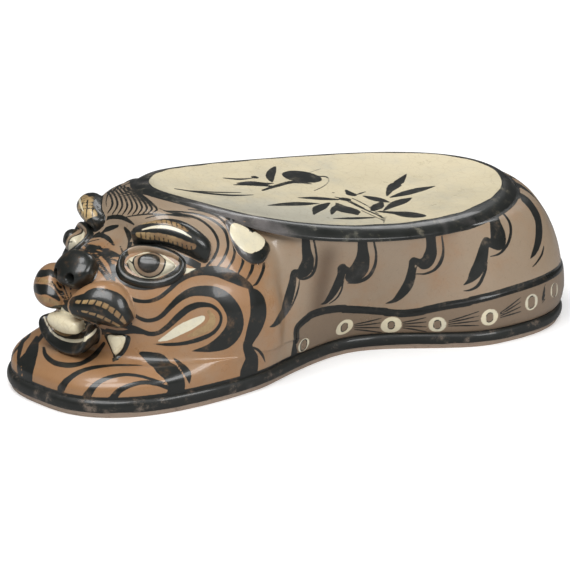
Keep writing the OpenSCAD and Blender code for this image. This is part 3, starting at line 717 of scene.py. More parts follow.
def ramp(tree, place, value, low, high, start=0.0, end=1.0, kind="SMOOTHSTEP"):
    """A value taken from the range between low and high to the range between start and end."""
    sockets = {"Value": value, "From Min": low, "From Max": high, "To Min": start, "To Max": end}
    return node(tree, "MapRange", place, sockets, interpolation_type=kind).outputs["Result"]


def mix(tree, place, factor, below, above, blend="MIX"):
    sockets = {"Factor": factor, "A": below, "B": above}
    return node(tree, "Mix", place, sockets, data_type="RGBA", blend_type=blend).outputs["Result"]


def shader_group(name, inputs, outputs):
    """A node group with named inputs and outputs; gives its tree, its ends and the object's places."""
    tree = bpy.data.node_groups.new(name, "ShaderNodeTree")
    for label, default in inputs.items():
        kind = "NodeSocketColor" if isinstance(default, tuple) else "NodeSocketFloat"
        tree.interface.new_socket(label, in_out="INPUT", socket_type=kind).default_value = default
    for label, kind in outputs.items():
        tree.interface.new_socket(label, in_out="OUTPUT", socket_type="NodeSocket" + kind)
    start, end = tree.nodes.new("NodeGroupInput"), tree.nodes.new("NodeGroupOutput")
    start.location, end.location = (-900, 0), (900, 0)
    place = node(tree, "TexCoord", (-900, -300)).outputs["Object"]
    return tree, start.outputs, end, place


def brush_edge_group():
    """A crisp mask from a brush field, with a hand-drawn wobble and dry patches inside the stroke."""
    tree, given, end, place = shader_group(
        "brush_edge", {"Field": FAR_OUTSIDE, "Wobble": 0.35, "Dryness": 0.3}, {"Mask": "Float"})
    wobble = noise_node(tree, (-700, -200), place, 420, 3)
    centred = math_node(tree, "SUBTRACT", (-520, -200), wobble, 0.5)
    shift = math_node(tree, "MULTIPLY_ADD", (-340, -150), centred, given["Wobble"], given["Field"])
    edge = ramp(tree, (-140, 0), shift, -0.22, 0.22)
    streaks = noise_node(tree, (-700, -480), place, 95, 7, 0.72)
    thin = ramp(tree, (-340, -480), streaks, 0.53, 0.74)
    dry = math_node(tree, "MULTIPLY", (-100, -420), thin, given["Dryness"])
    wet = math_node(tree, "SUBTRACT", (80, -420), 1, dry)
    fill(tree, end, {"Mask": math_node(tree, "MULTIPLY", (260, -100), edge, wet)})
    return tree


def mottle_group():
    """Two tones of one slip, in soft clouds with fine specks."""
    tree, given, end, place = shader_group(
        "slip_mottle", {"Light": WHITE, "Deep": (0.5, 0.5, 0.5, 1), "Lean": 0.0, "Specks": 0.2},
        {"Colour": "Color", "Height": "Float"})
    cloud = noise_node(tree, (-700, 0), place, 26, 8, 0.66)
    lean = math_node(tree, "ADD", (-500, 0), cloud, given["Lean"])
    share = ramp(tree, (-320, 0), lean, 0.28, 0.72)
    tones = mix(tree, (-100, 0), share, given["Deep"], given["Light"])
    dots = ramp(tree, (-420, -400), noise_node(tree, (-700, -400), place, 520, 4), 0.60, 0.74)
    amount = math_node(tree, "MULTIPLY", (-200, -400), dots, given["Specks"])
    fill(tree, end, {"Colour": mix(tree, (140, -60), amount, tones, SPECK_BROWN), "Height": cloud})
    return tree


def crackle_group():
    """Fine crackle lines of an old glaze."""
    tree, given, end, place = shader_group(
        "glaze_crackle", {"Scale": 300.0, "Strength": 0.3}, {"Lines": "Float"})
    bend = node(tree, "TexNoise", (-720, -160), {"Vector": place, "Scale": 60})
    sockets = {"Factor": 0.012, "A": place, "B": bend.outputs["Color"]}
    bent = node(tree, "Mix", (-520, -220), sockets, data_type="VECTOR")
    sockets = {"Vector": bent.outputs["Result"], "Scale": given["Scale"]}
    cells = node(tree, "TexVoronoi", (-320, -160), sockets, feature="DISTANCE_TO_EDGE")
    thin = ramp(tree, (-100, -160), cells.outputs["Distance"], 0.0, 0.05, 1.0, 0.0)
    fill(tree, end, {"Lines": math_node(tree, "MULTIPLY", (120, -160), thin, given["Strength"])})
    return tree


class GlazeSet:
    """Builds the materials from the shared groups and the chosen colours."""

    def __init__(self, finish):
        self.finish = finish
        self.brush, self.mottle, self.crackle = brush_edge_group(), mottle_group(), crackle_group()
        self.made = {}

    def painted(self, name, ground, ground_deep, roughness, crackle, specks, dryness=0.3):
        """A glazed ground under cream, iron black and gold brush work."""
        if name in self.made:
            return self.made[name]
        finish = self.finish
        material = bpy.data.materials.new(name)
        material.use_nodes = True
        tree = material.node_tree
        place = node(tree, "TexCoord", (-1800, 0)).outputs["Object"]

        def field(key, x, y):
            return node(tree, "Attribute", (x, y), attribute_name=key).outputs["Fac"]

        def slip(light, deep, speck, y, lean=0.0):
            sockets = {"Light": (*light, 1), "Deep": (*deep, 1), "Specks": speck, "Lean": lean}
            return node(tree, "Group", (-1250, y), sockets, node_tree=self.mottle).outputs

        patch = noise_node(tree, (-1600, -180), place, 34, 5)
        fresh = math_node(tree, "SUBTRACT", (-1400, -180), patch, IRON_FRESH)
        worn = math_node(tree, "ADD", (-1400, -300), fresh, field("wear", -1600, -340))
        base = slip(ground, ground_deep, specks, 300, field("tone", -1500, 300))
        cream = slip(finish.cream, finish.cream_deep, 0.1, 60)
        iron = slip(finish.worn, finish.iron, 0.0, -180, worn)
        gold = slip(finish.gold, finish.rust, 0.75, -420)
        colour = base["Colour"]
        masks = {}
        for key, layer, wobble, dry, y in (("cream_field", cream, 0.5, 0.12, 60),
                                           ("ink_field", iron, 0.4, dryness, -180),
                                           ("gold_field", gold, 0.9, 0.55, -420)):
            sockets = {"Field": field(key, -1250, y - 110), "Wobble": wobble, "Dryness": dry}
            brush = node(tree, "Group", (-1000, y - 60), sockets, node_tree=self.brush)
            masks[key] = brush.outputs["Mask"]
            colour = mix(tree, (-700, y), masks[key], colour, layer["Colour"])
        # Painted shade: the shade field darkens the colour towards a dull brown in the hollow behind the
        # shoulder; the same field also darkens the tail's ground and the cream panel a little
        colour = mix(tree, (-560, 200), field("shade", -760, 300), colour, PAINTED_SHADE_AND_DARKENING_TINT, "MULTIPLY")
        sockets = {"Scale": crackle[0], "Strength": crackle[1]}
        lines = node(tree, "Group", (-700, -700), sockets, node_tree=self.crackle).outputs["Lines"]
        gloss = noise_node(tree, (-700, -950), place, 60, 6)
        height = math_node(tree, "MULTIPLY_ADD", (-420, -600), masks["ink_field"], INK_HEIGHT, base["Height"])
        bump = node(tree, "Bump", (-200, -600), {"Strength": 0.16, "Distance": 0.0008, "Height": height})
        rough = ramp(tree, (-420, -950), gloss, 0.3, 0.7, roughness - 0.06, roughness + 0.14, "LINEAR")
        fill(tree, tree.nodes["Principled BSDF"], {
            "Base Color": mix(tree, (-420, 0), lines, colour, STAIN, "MULTIPLY"), "Roughness": rough,
            "Normal": bump.outputs["Normal"], "IOR": 1.52, "Coat Roughness": 0.07,
            "Coat Weight": finish.coat})
        self.made[name] = material
        return material

    def skin(self):
        f = self.finish
        return self.painted("tan_slip_glaze", f.tan, f.tan_deep, f.roughness, (210, 0.10), 0.16)

    def cream(self):
        f = self.finish
        return self.painted("cream_slip_glaze", f.cream, f.cream_deep, f.roughness, (150, 0.22), 0.05, 0.2)

    def iron(self):
        f = self.finish
        return self.painted("iron_black_glaze", f.tan, f.tan_deep, f.roughness, (240, 0.05), 0.1, 0.34)

    def foot(self):
        f = self.finish
        return self.painted("foot_bead_glaze", f.clay, f.clay_deep, f.roughness + 0.12, (260, 0.04), 0.5, 0.5)

    def bare(self):
        f = self.finish
        return self.painted("bare_clay", f.clay, f.clay_deep, 0.7, (300, 0.0), 0.5)


GLAZES = {}


def glazes(context):
    if "set" not in GLAZES:
        GLAZES["set"] = GlazeSet(context.scene.pillow_finish)
    return GLAZES["set"]


def fields_of(points, ink=(), cream=(), gold=(), tone=None, ink_floor=None):
    """The fields that the glaze reads at each point, with ink wherever its floor asks for it."""
    made = {"ink_field": brush_field(points, ink), "cream_field": brush_field(points, cream),
            "gold_field": brush_field(points, gold),
            "tone": np.zeros(len(points)) if tone is None else tone}
    if ink_floor is not None:
        made["ink_field"] = np.maximum(made["ink_field"], ink_floor)
    return made


# Pieces
def wall_grid(walks, levels, unevenness):
    """Outer skin of the left wall, with the unevenness of pressed clay."""
    walk, level = np.meshgrid(walks, levels, indexing="ij")
    raw = wall_point(walk, level)
    ends = ease(level / 0.8) * ease((TOP - level) / 0.5)
    out = unevenness * (clay_noise(raw, 34, 3) + 0.4 * clay_noise(raw, 13, 5)) * ends
    p = on_wall(walk, level, out)
    p[..., 2] -= np.where(level == 0, SINK, 0)
    return p


def lining_grid(walks, levels):
    """Lining of the left wall, with its top edge at the headrest's seat."""
    walk, level = np.meshgrid(walks, levels, indexing="ij")
    p = on_wall(walk, level, np.full(walk.shape, -WALL))
    dx, dy = heading(walk)
    r = rest_radius(walk, BAND_WIDTH - SEAT_WIDTH)
    seat = edge_height(spot(walk) + dx * r) - REST_THICKNESS - GAP
    p[..., 2] = np.clip(p[..., 2], FOOT_HEIGHT, seat - LINING_FALL * (TOP - level))
    top = np.stack([spot(walk) + dx * r, dy * r, seat], -1)
    return np.where((level == TOP)[..., None], top, p)


def doubled(grid):
    """Both sides of a grid that starts in the middle of the face."""
    return np.concatenate([flip(grid[:0:-1]), grid])


def half_round(front, side, rear):
    """Places along half the outline, with counts for its front, its side and its rear."""
    return np.concatenate([np.linspace(FRONT, 0, front)[:-1], np.linspace(0, BARREL, side)[:-1],
                           np.linspace(BARREL, REAR, rear)])


def whole_ring(half):
    return np.concatenate([half, flip(half[-2:0:-1])])


def shell_piece(name, outer, inner, fields, material, nodes, ring=False):
    """A closed sheet between two grids, joined end to end where it is a ring."""
    n = outer.shape[0] * outer.shape[1]
    outer_ids = np.arange(n).reshape(outer.shape[:2])
    inner_ids = n + np.arange(inner.shape[0] * inner.shape[1]).reshape(inner.shape[:2])
    points = np.concatenate([outer.reshape(-1, 3), inner.reshape(-1, 3)])
    if ring:
        section = np.concatenate([outer_ids, inner_ids[:, ::-1], outer_ids[:, :1]], 1)
        faces = grid_faces(np.concatenate([section, section[:1]]))
    else:
        faces = shell_faces(outer_ids, inner_ids)
    clay_object(name, points, faces, material, nodes, fields)


def rim_ink(walk, level, reach):
    """Ink of the dark band that runs onto the top of the wall, and of the foot line at its bottom."""
    p = wall_point(walk, level)
    top, bottom = wall_point(walk, float(TOP)), wall_point(walk, 0.0)
    band = reach - np.linalg.norm(p - top, axis=-1)
    return np.maximum(band, FOOT_LINE - np.linalg.norm(p - bottom, axis=-1))


def skin_tone(p):
    """Where the slip fired peach (positive) and where it is greyer (negative)."""
    x, z = p[..., 0], p[..., 2]
    head = ease((-40 - x) / 50) * ease((104 - z) / 30)
    forehead = ease((-105 - x) / 20) * ease((z - 84) / 8)
    return lerp(FLANK_TONE, HEAD_TONE, head) + LOIN_TONE * bell(x - 60, 25) + FOREHEAD_TONE * forehead


def waist_shade(walk, level):
    """Painted shade in the hollow behind the shoulder."""
    return WAIST_SHADE * bell(walk - WAIST_WALK, 8) * ease((level - 1) / 4) * ease((TOP - level) / 3)


def laid_on(walk, height, dome, blend, within):
    """Clay with a domed section, blended into the wall: outer points, points under them, distance inside."""
    level = level_at(height)
    out = (dome + np.sqrt(dome ** 2 + blend ** 2)) / 2 - SINK
    return on_wall(walk, level, out), on_wall(walk, level, np.full(out.shape, -ROOT_DEPTH)), within


def applied_grid(path, halves, rise, along, across, power=0.5, skirt=3.0, blend=1.4, blunt=5, fullness=3):
    """Clay laid on the wall along a path of (walk, height), with half widths and a rise."""
    path, halves = np.array(path, float), np.array(halves, float)
    run_out = np.linspace(skirt, SKIRT_NEAR, SKIRT_ROWS)
    share = (1 - np.cos(np.linspace(0, math.pi, along))) / 2
    s = np.concatenate([np.zeros(SKIRT_ROWS), share, np.ones(SKIRT_ROWS)])
    beyond = np.concatenate([-run_out, np.zeros(along), run_out[::-1]])
    last = len(path) - 1
    tangent = spline(path, np.minimum(last, s * last + 0.02)) - spline(path, np.maximum(0, s * last - 0.02))
    tangent /= np.linalg.norm(tangent, axis=1, keepdims=True)
    length = np.linalg.norm(np.diff(path, axis=0), axis=1).sum()
    centre = spline(path, s * last) + tangent * beyond[:, None]
    half = spline(halves, s * (len(halves) - 1)) * np.sqrt(np.maximum(0, 1 - np.abs(2 * s - 1) ** blunt))
    swell = np.sqrt(np.maximum(0, 1 - np.abs(2 * s - 1) ** fullness))
    v = np.linspace(-1, 1, across)[None] * (half + skirt)[:, None]
    inside = np.maximum(0, 1 - (v / np.maximum(half, 0.01)[:, None]) ** 2) ** power * swell[:, None] * rise
    outside = np.hypot(np.maximum(0, np.abs(v) - half[:, None]), np.abs(beyond)[:, None])
    dome = np.where(outside > 0, -SKIRT_FALL * outside, inside)
    ends = np.minimum(s, 1 - s) * length
    within = np.where(outside > 0, -outside, np.minimum(half[:, None] - np.abs(v), ends[:, None]))
    spread = centre[:, None] + np.stack([-tangent[:, 1], tangent[:, 0]], -1)[:, None] * v[..., None]
    return laid_on(spread[..., 0], spread[..., 1], dome, blend, within)


def brow_form():
    path = [[round_face(angle), EYE_HEIGHT + BROW_LIFT * lift]
            for angle, lift in ((17, 1), (38, 1.4), (54, 1.25), (66, 0.7))]
    halves = np.array([0.8, 1.05, 1.3, 1.2]) * BROW_WIDTH / 2
    return applied_grid(path, halves, RELIEF * 1.7, along=120, across=60, blunt=12)


def ear_form():
    root = EYE_HEIGHT + 5
    path = [[walk, root + EAR_HEIGHT * third / 3] for third, walk in enumerate((10, 9, 9, 10))]
    halves = np.array([0.5, 0.95, 1, 0.8]) * EAR_WIDTH / 2
    return applied_grid(path, halves, RELIEF * 0.6, along=80, across=80)


def eye_form():
    eye, reach = FRONT + EYE_OUT, EYE_WIDTH * 0.45
    path = [[eye - reach, EYE_HEIGHT - 0.5], [eye, EYE_HEIGHT - 1.3], [eye + reach, EYE_HEIGHT - 0.5]]
    halves = np.array([0.05, 0.185, 0.05]) * EYE_WIDTH
    return applied_grid(path, halves, RELIEF, along=90, across=60, power=0.7, skirt=3.5)


def pad_form():
    path = [[FRONT + walk, NOSE_HEIGHT - drop] for walk, drop in ((4.5, 17.5), (20.5, 13), (33, 23.5))]
    return applied_grid(path, [5, 12, 5], RELIEF * 2.3, along=110, across=80, blunt=8)


def nose_form():
    path = [[FRONT, NOSE_HEIGHT + rise] for rise in (-7.5, 0, 7.5)]
    return applied_grid(path, [7, 11.5, 9], RELIEF * 2, along=90, across=100, power=0.2)


def tongue_form():
    path = [[FRONT + walk, NOSE_HEIGHT - 26] for walk in (-10, 0, 10)]
    return applied_grid(path, [2.8, 4, 2.8], RELIEF * 1.5, along=70, across=50, power=0.2, skirt=1.5,
                        blend=1.0, blunt=20, fullness=8)


def jaw_form():
    jaw = NOSE_HEIGHT - JAW_DROP
    path = [[FRONT + walk, jaw + rise]
            for walk, rise in ((-15.5, 11), (-11.5, 3.2), (0, 0), (11.5, 3.2), (15.5, 11))]
    return applied_grid(path, [2, 3.2, 4, 3.2, 2], RELIEF * 2.3, along=90, across=50, skirt=2, blunt=12,
                        fullness=8)


def fang_form():
    path = [[FRONT + 26, NOSE_HEIGHT - 30 - drop] for drop in (0, 6.5, 13.5)]
    return applied_grid(path, [6, 4, 0.8], RELIEF - 2, along=50, across=40, power=0.7, skirt=2)


def tail_form():
    walks = [BARREL * share for share in (0.25, 0.34, 0.42, 0.5, 0.6, 0.7, 0.85, 1)]
    walks += [REAR - QUARTER * 0.7, REAR - QUARTER * 0.35, REAR, REAR + TAIL_WRAP]
    halves = np.array([1.2, 1.54, 1.54, 1.37, 1.15, 1, 1.37, 1.7, 1.8, 1.72, 1.58, 1.28]) * TAIL_WIDTH / 2
    path = np.column_stack([walks, FOOT_HEIGHT + BEAD_OUT / 2 + halves])
    return applied_grid(path, halves, TAIL_RISE, along=520, across=60, skirt=2, blunt=60)


def lid_form():
    """The ring of clay round an eye, as rows round its section, with a thin dark edge on the upper lid."""
    eye, skirt = FRONT + EYE_OUT, 2.0
    angle = np.linspace(0, 2 * math.pi, 141)[:-1]
    a, across = np.meshgrid(angle, np.linspace(-1, 1, 30), indexing="ij")
    half = EYE_WIDTH * 0.05 * (1 + 0.5 * np.maximum(0, -np.sin(a)))
    across = across * (half + skirt)
    high = EYE_WIDTH * np.where(np.sin(a) > 0, 0.18, 0.34)
    walk, height = eye + (EYE_WIDTH * 0.6 + across) * np.cos(a), EYE_HEIGHT + 1 + (high + across) * np.sin(a)
    inside = np.sqrt(np.maximum(0, 1 - (across / half) ** 2)) * RELIEF / 2
    within = half - np.abs(across)
    dome = np.where(within < 0, SKIRT_FALL * within, inside)
    upper_edge = across - 1.1 + 4 * (1 - ease((np.sin(a) - 0.2) / 0.3))
    return laid_on(walk, height, dome, 1.0, np.minimum(within, upper_edge))


def applied_piece(name, form, side, material, paint, ring=False):
    """One applied piece on a side, painted by a function of its points and their distance inside."""
    outer, under, within = form
    outer, under = placed(outer, side), placed(under, side)
    fields = paint(outer.reshape(-1, 3), within.ravel())
    shell_piece(name, outer, under, fields, material, [name], ring)


def surface_on(form, side=-1):
    return surface_of([placed(form[0], side)])


def tail_edge(form):
    """The dark line along the tail's upper edge, as a brush line."""
    outer, within = settle(form[0]), form[2]
    upper = within.shape[1] // 2
    column = upper + np.abs(within[:, upper:]).argmin(1)
    line = outer[np.arange(len(column)), column][SKIRT_ROWS:-SKIRT_ROWS]
    return np.column_stack([line, np.full(len(line), TAIL_LINE)])


# Settings
def number_setting(label, words, default, low, high, **kind):
    return bpy.props.FloatProperty(name=label, description=words, default=default, min=low, max=high, **kind)


def size_setting(label, words, default, low, high):
    return number_setting(label, words, default, low, high, unit="LENGTH")


def colour_setting(label, words, default):
    return bpy.props.FloatVectorProperty(
        name=label, description=words, default=default, subtype="COLOR", min=0, max=1)


class PillowForm(bpy.types.PropertyGroup):
    """Sizes of the clay work that don't come from the part."""
    column_step: size_setting(
        "Column step", "Distance between mesh columns round the wall", 0.0008, 0.0004, 0.005)
    row_step: size_setting("Row step", "Distance between mesh rows up the wall", 0.0008, 0.0004, 0.005)
    unevenness: size_setting(
        "Unevenness", "How far the pressed clay wanders from its measure", 0.0005, 0.0, 0.002)
    band_run: size_setting(
        "Band run", "How far the dark band runs from the headrest onto the wall", 0.0022, 0.0, 0.006)
    pupil: size_setting("Pupil", "Radius of the painted pupil", 0.0067, 0.004, 0.009)


class PillowFinish(bpy.types.PropertyGroup):
    """Colours and gloss of the slips, the pigment and the glaze."""
    tan: colour_setting("Tan slip", "Light tone of the body's slip", (0.315, 0.17, 0.079))
    tan_deep: colour_setting("Tan slip, deep", "Deep tone of the body's slip", (0.30, 0.225, 0.155))
    cream: colour_setting("Cream slip", "Light tone of the cream slip", (0.75, 0.665, 0.46))
    cream_deep: colour_setting("Cream slip, deep", "Deep tone of the cream slip", (0.56, 0.535, 0.43))
    iron: colour_setting("Iron black", "Black of the iron pigment", (0.010, 0.0115, 0.0098))
    worn: colour_setting("Worn band", "Grey-brown tone where the band is worn", (0.12, 0.11, 0.107))
    gold: colour_setting("Gold", "Light tone of the mottled gold", (0.50, 0.36, 0.17))
    rust: colour_setting("Rust", "Deep tone of the mottled gold", (0.15, 0.075, 0.032))
    clay: colour_setting("Bare clay", "Light tone of the bare clay", (0.37, 0.28, 0.21))
    clay_deep: colour_setting("Bare clay, deep", "Deep tone of the bare clay", (0.33, 0.24, 0.18))
    roughness: number_setting("Roughness", "Roughness of the glaze", 0.32, 0.05, 0.9, subtype="FACTOR")
    coat: number_setting("Coat", "Clear coat of the glaze", 0.45, 0.0, 1.0, subtype="FACTOR")


class PillowStage(bpy.types.PropertyGroup):
    """Light and floor of the studio."""
    floor: colour_setting("Floor", "Colour of the floor", (0.86, 0.86, 0.86))
    lift: number_setting("Floor lift", "How much whiter the camera sees the floor", 0.24, 0, 1)
    reflected: number_setting("Reflected studio", "How bright the floor and sky look in the glaze", 0.3, 0, 1)
    key_power: number_setting("Key light", "Power of the large soft light", 18.0, 0, 200, unit="POWER")
    fill_power: number_setting(
        "Fill light", "Power of the light from the other side", 8.0, 0, 200, unit="POWER")
    sky: number_setting("Sky", "Strength of the even light all round", 0.24, 0, 3)


# Operators
class PILLOW_OT_walls(bpy.types.Operator):
    """Make the moulded head and the two flanks, with their brush work"""
    bl_idname = "pillow.make_walls"
    bl_label = "Head and flanks"

    def execute(self, context):
        form = context.scene.pillow_form
        column, row = form.column_step * 1000, form.row_step * 1000
        uneven, reach = form.unevenness * 1000, form.band_run * 1000
        face_walks = np.linspace(FRONT, SEAM, int((SEAM - FRONT) / column))
        flank_walks = np.linspace(SEAM, REAR, int((REAR - SEAM) / column * FLANK_SHARE))
        face_rows = np.linspace(0, TOP, int(FACE_RISE / row))
        flank_rows = level_at(FOOT_HEIGHT + np.linspace(0, LADDER[TOP], int(FLANK_RISE / row)))
        head = settle(doubled(wall_grid(face_walks, face_rows, uneven)))
        flank = wall_grid(flank_walks, flank_rows, uneven)
        left, right = placed(flank, -1), placed(flank, 1)
        surface = surface_of([head, left])
        middle = FOREHEAD_STROKES + MOUTH_STROKES + PHILTRUM_STROKES + CHEST_STROKES
        ink = carry(CHEEK_STROKES, FACE_CROP, surface) + carry(FLANK_STROKES, FLANK_CROP, surface)
        ink += carry(middle, FACE_CROP, surface, False)
        ink += mirrored(carry(CHEST_STROKES[3:], FACE_CROP, surface, False))
        ink += carry(EYE_CORNERS + BRIDGE_STROKES, FACE_CROP, surface)
        ink += wall_strokes([[(REAR + walk, height, width) for walk, height, width in RUMP_STROKE]])
        tail_ink = carry(TAIL_TIP + REAR_LINE, FLANK_CROP, surface, False) + [tail_edge(tail_form())]
        cream = carry(CREAM_COMMA + EYE_CREAM + MOUTH_CREAM, FACE_CROP, surface)
        gold = carry(GOLD_END, FACE_CROP, surface)
        skin = glazes(context).skin()
        for name, grid, walks, levels, near_ink in (
                ("head_shell", head, face_walks, face_rows, tail_ink),
                ("left_flank_shell", left, flank_walks, flank_rows, tail_ink),
                ("right_flank_shell", right, flank_walks, flank_rows, [])):
            coarse = np.linspace(walks[0], walks[-1], LINING_COLUMNS)
            lining = lining_grid(coarse, np.linspace(0, TOP, LINING_ROWS))
            if name == "head_shell":
                walks, lining = np.concatenate([walks[:0:-1], walks]), doubled(lining)
            walk, level = np.meshgrid(walks, levels, indexing="ij")
            points = grid.reshape(-1, 3)
            paint = fields_of(points, ink + near_ink, cream, gold, skin_tone(points),
                              rim_ink(walk, level, reach).ravel())
            # Painted shade in the hollow behind the shoulder
            paint["shade"] = waist_shade(walk, level).ravel()
            lining = placed(lining, 1 if name == "right_flank_shell" else -1)
            shell_piece(name, grid, lining, paint, skin, [name])
        return {"FINISHED"}


class PILLOW_OT_foot(bpy.types.Operator):
    """Make the floor slab with its round foot bead"""
    bl_idname = "pillow.make_foot"
    bl_label = "Foot"

    def execute(self, context):
        walks = half_round(90, 120, 90)
        dx, dy = heading(walks)
        insets = [(BEAD_OUT, 0.0), (BEAD_OUT * 0.72, 1.5), (BEAD_OUT / 2, BARE_HEIGHT)]
        middle, half = (BARE_HEIGHT + FOOT_HEIGHT) / 2, (FOOT_HEIGHT - BARE_HEIGHT) / 2
        for t in np.linspace(-0.96, 1, 20):
            inset = BEAD_OUT * (1 - math.sqrt(max(0, 1 - t * t)))
            insets.append((inset * (0.55 if t < 0 else 1), middle + half * t))
        rings = []
        for inset, z in insets:
            r = foot_radius(walks) - inset
            rings.append(whole_ring(np.stack([spot(walks) + dx * r, dy * r, np.full(r.shape, z)], -1)))
        rings = np.array(rings)
        bulge = clay_noise(rings, 22, 11) * 0.45 * ease(np.array([z for _, z in insets]) / 5)[:, None]
        outward = rings - np.array([0, 0, 1]) * rings[..., 2:] - np.array([WAIST_X, 0, 0])
        outward /= np.linalg.norm(outward, axis=-1, keepdims=True)
        rings = settle(rings + outward * (bulge - SINK)[..., None] * (rings[..., 2:] > 0.5))
        points = rings.reshape(-1, 3)
        edge = points[:, 2] - BARE_HEIGHT - 0.3 + 0.8 * clay_noise(points, 12, 17)
        paint = fields_of(points, ink_floor=np.clip(edge, -3, 3))
        clay_object("base_slab", points, drum_faces(*rings.shape[:2]), glazes(context).foot(),
                    ["base_slab"], paint)
        return {"FINISHED"}


class PILLOW_OT_headrest(bpy.types.Operator):
    """Make the headrest slab with its cream panel, dark band and brush work"""
    bl_idname = "pillow.make_headrest"
    bl_label = "Headrest"

    def execute(self, context):
        walks = half_round(130, 150, 120)
        start, (dx, dy) = spot(walks), heading(walks)

        def ring(share, grow, drop, flat=False):
            r = rest_radius(walks, grow)
            x = start + dx * r
            level = edge_height(lerp(start, x, share) if flat else x) - drop
            return whole_ring(np.stack([start + dx * r * share, dy * r * share, level], -1))

        rows = [ring(s, 0, REST_DISH * (1 - s ** 2.3), True) for s in np.linspace(0.012, 0.985, PANEL_ROWS)]
        rows.append(ring(1, 0, 0))
        rim = ring(1, BAND_WIDTH + GAP, 0)
        rim[:, 2] = rim_height(rim[:, 0])
        for t in np.linspace(0.08, 0.97, 14):
            row = ring(1, (BAND_WIDTH + GAP) * t, 0)
            row[:, 2] -= (row[:, 2] - rim[:, 2]) * t ** 2.2
            rows.append(row)
        rows.append(rim)
        under = [rim - np.array([0, 0, 2.0]), ring(1, BAND_WIDTH - SEAT_WIDTH, REST_THICKNESS),
                 ring(0.5, 0, REST_THICKNESS, True), ring(0.05, 0, REST_THICKNESS, True)]
        grid = np.array(rows + under)
        top_rows = len(rows)
        raised = clay_noise(grid[:top_rows], 30, 23) * 0.35
        grid[:top_rows, :, 2] += raised * (1 - np.linspace(0, 1, top_rows)[:, None] ** 6)
        grid = settle(grid)
        points = grid.reshape(-1, 3)
        surface = surface_of([grid[:top_rows]])
        ink = carry(PANEL_STROKES, FLANK_CROP, surface, False, PANEL_STRETCH)
        ink += carry(REED_STROKES, FACE_CROP, surface, False, PANEL_STRETCH)
        centre = np.array([REST_X, 0, 0]) - BOX_MIDDLE
        reach = np.linalg.norm((grid - centre)[..., :2], axis=-1)
        away = reach - reach[PANEL_ROWS]
        band = away + 0.9 * clay_noise(grid, 16, 29)
        band[top_rows:] = 3
        away = away.ravel()
        paint = fields_of(points, ink, ink_floor=np.clip(band.ravel(), FAR_OUTSIDE, 3))
        paint["tone"] = 0.16 - 0.5 * bell(points[:, 0] + 45, 60) * bell(points[:, 1] + 40, 35)
        paint["shade"] = np.where(away < 0.5, PANEL_SHADE, 0)
        worn = 0.02 + 0.3 * bell(points[:, 0] + 75, 42) + 0.14 * clay_noise(points, 7, 31)
        paint["wear"] = np.where(away > 0.5, worn, 0)
        clay_object("headrest_slab", points, drum_faces(*grid.shape[:2]), glazes(context).cream(),
                    ["headrest_slab"], paint)
        return {"FINISHED"}


class PILLOW_OT_ears(bpy.types.Operator):
    """Make the two applied ears with their cream hearts"""
    bl_idname = "pillow.make_ears"
    bl_label = "Ears"

    def execute(self, context):
        form = ear_form()
        surface = surface_on(form)
        cream, notch = carry(EAR_HEART, FACE_CROP, surface), carry(EAR_NOTCH, FACE_CROP, surface)

        def paint(points, within):
            fields = fields_of(points, cream=cream, tone=skin_tone(points), ink_floor=within + EAR_RUN)
            fields["cream_field"] = np.minimum(fields["cream_field"], -brush_field(points, notch))
            fields["ink_field"] = np.minimum(fields["ink_field"], -fields["cream_field"])
            front = np.percentile(points[:, 0], 30)
            fields["wear"] = 0.3 * ease((front + 6 - points[:, 0]) / 10)
            return fields
        for name, side in SIDES:
            applied_piece(name + "_ear", form, side, glazes(context).skin(), paint)
        return {"FINISHED"}


class PILLOW_OT_brows(bpy.types.Operator):
    """Make the two applied brows, gold with dark rims"""
    bl_idname = "pillow.make_brows"
    bl_label = "Brows"

    def execute(self, context):
        form = brow_form()
        near, far = surface_on(form), surface_on(form, 1)
        gold, cream, lines = (
            carry(strokes, FACE_CROP, near) for strokes in (BROW_GOLD, BROW_CREAM, BROW_LINES))
        gold += carry(FAR_BROW_GOLD, FACE_CROP, far, False)
        lines += carry(FAR_BROW_LINES, FACE_CROP, far, False)

        def paint(points, within):
            fields = fields_of(points, cream=cream, tone=skin_tone(points), ink_floor=within + BROW_RUN)
            fields["ink_field"] = np.minimum(fields["ink_field"], -fields["cream_field"])
            bright = np.minimum(brush_field(points, gold), within - BROW_RIM)
            fields["gold_field"] = np.minimum(
                bright, -np.maximum(brush_field(points, lines), fields["cream_field"]))
            return fields
        for name, side in SIDES:
            applied_piece(name + "_brow", form, side, glazes(context).iron(), paint)
        return {"FINISHED"}


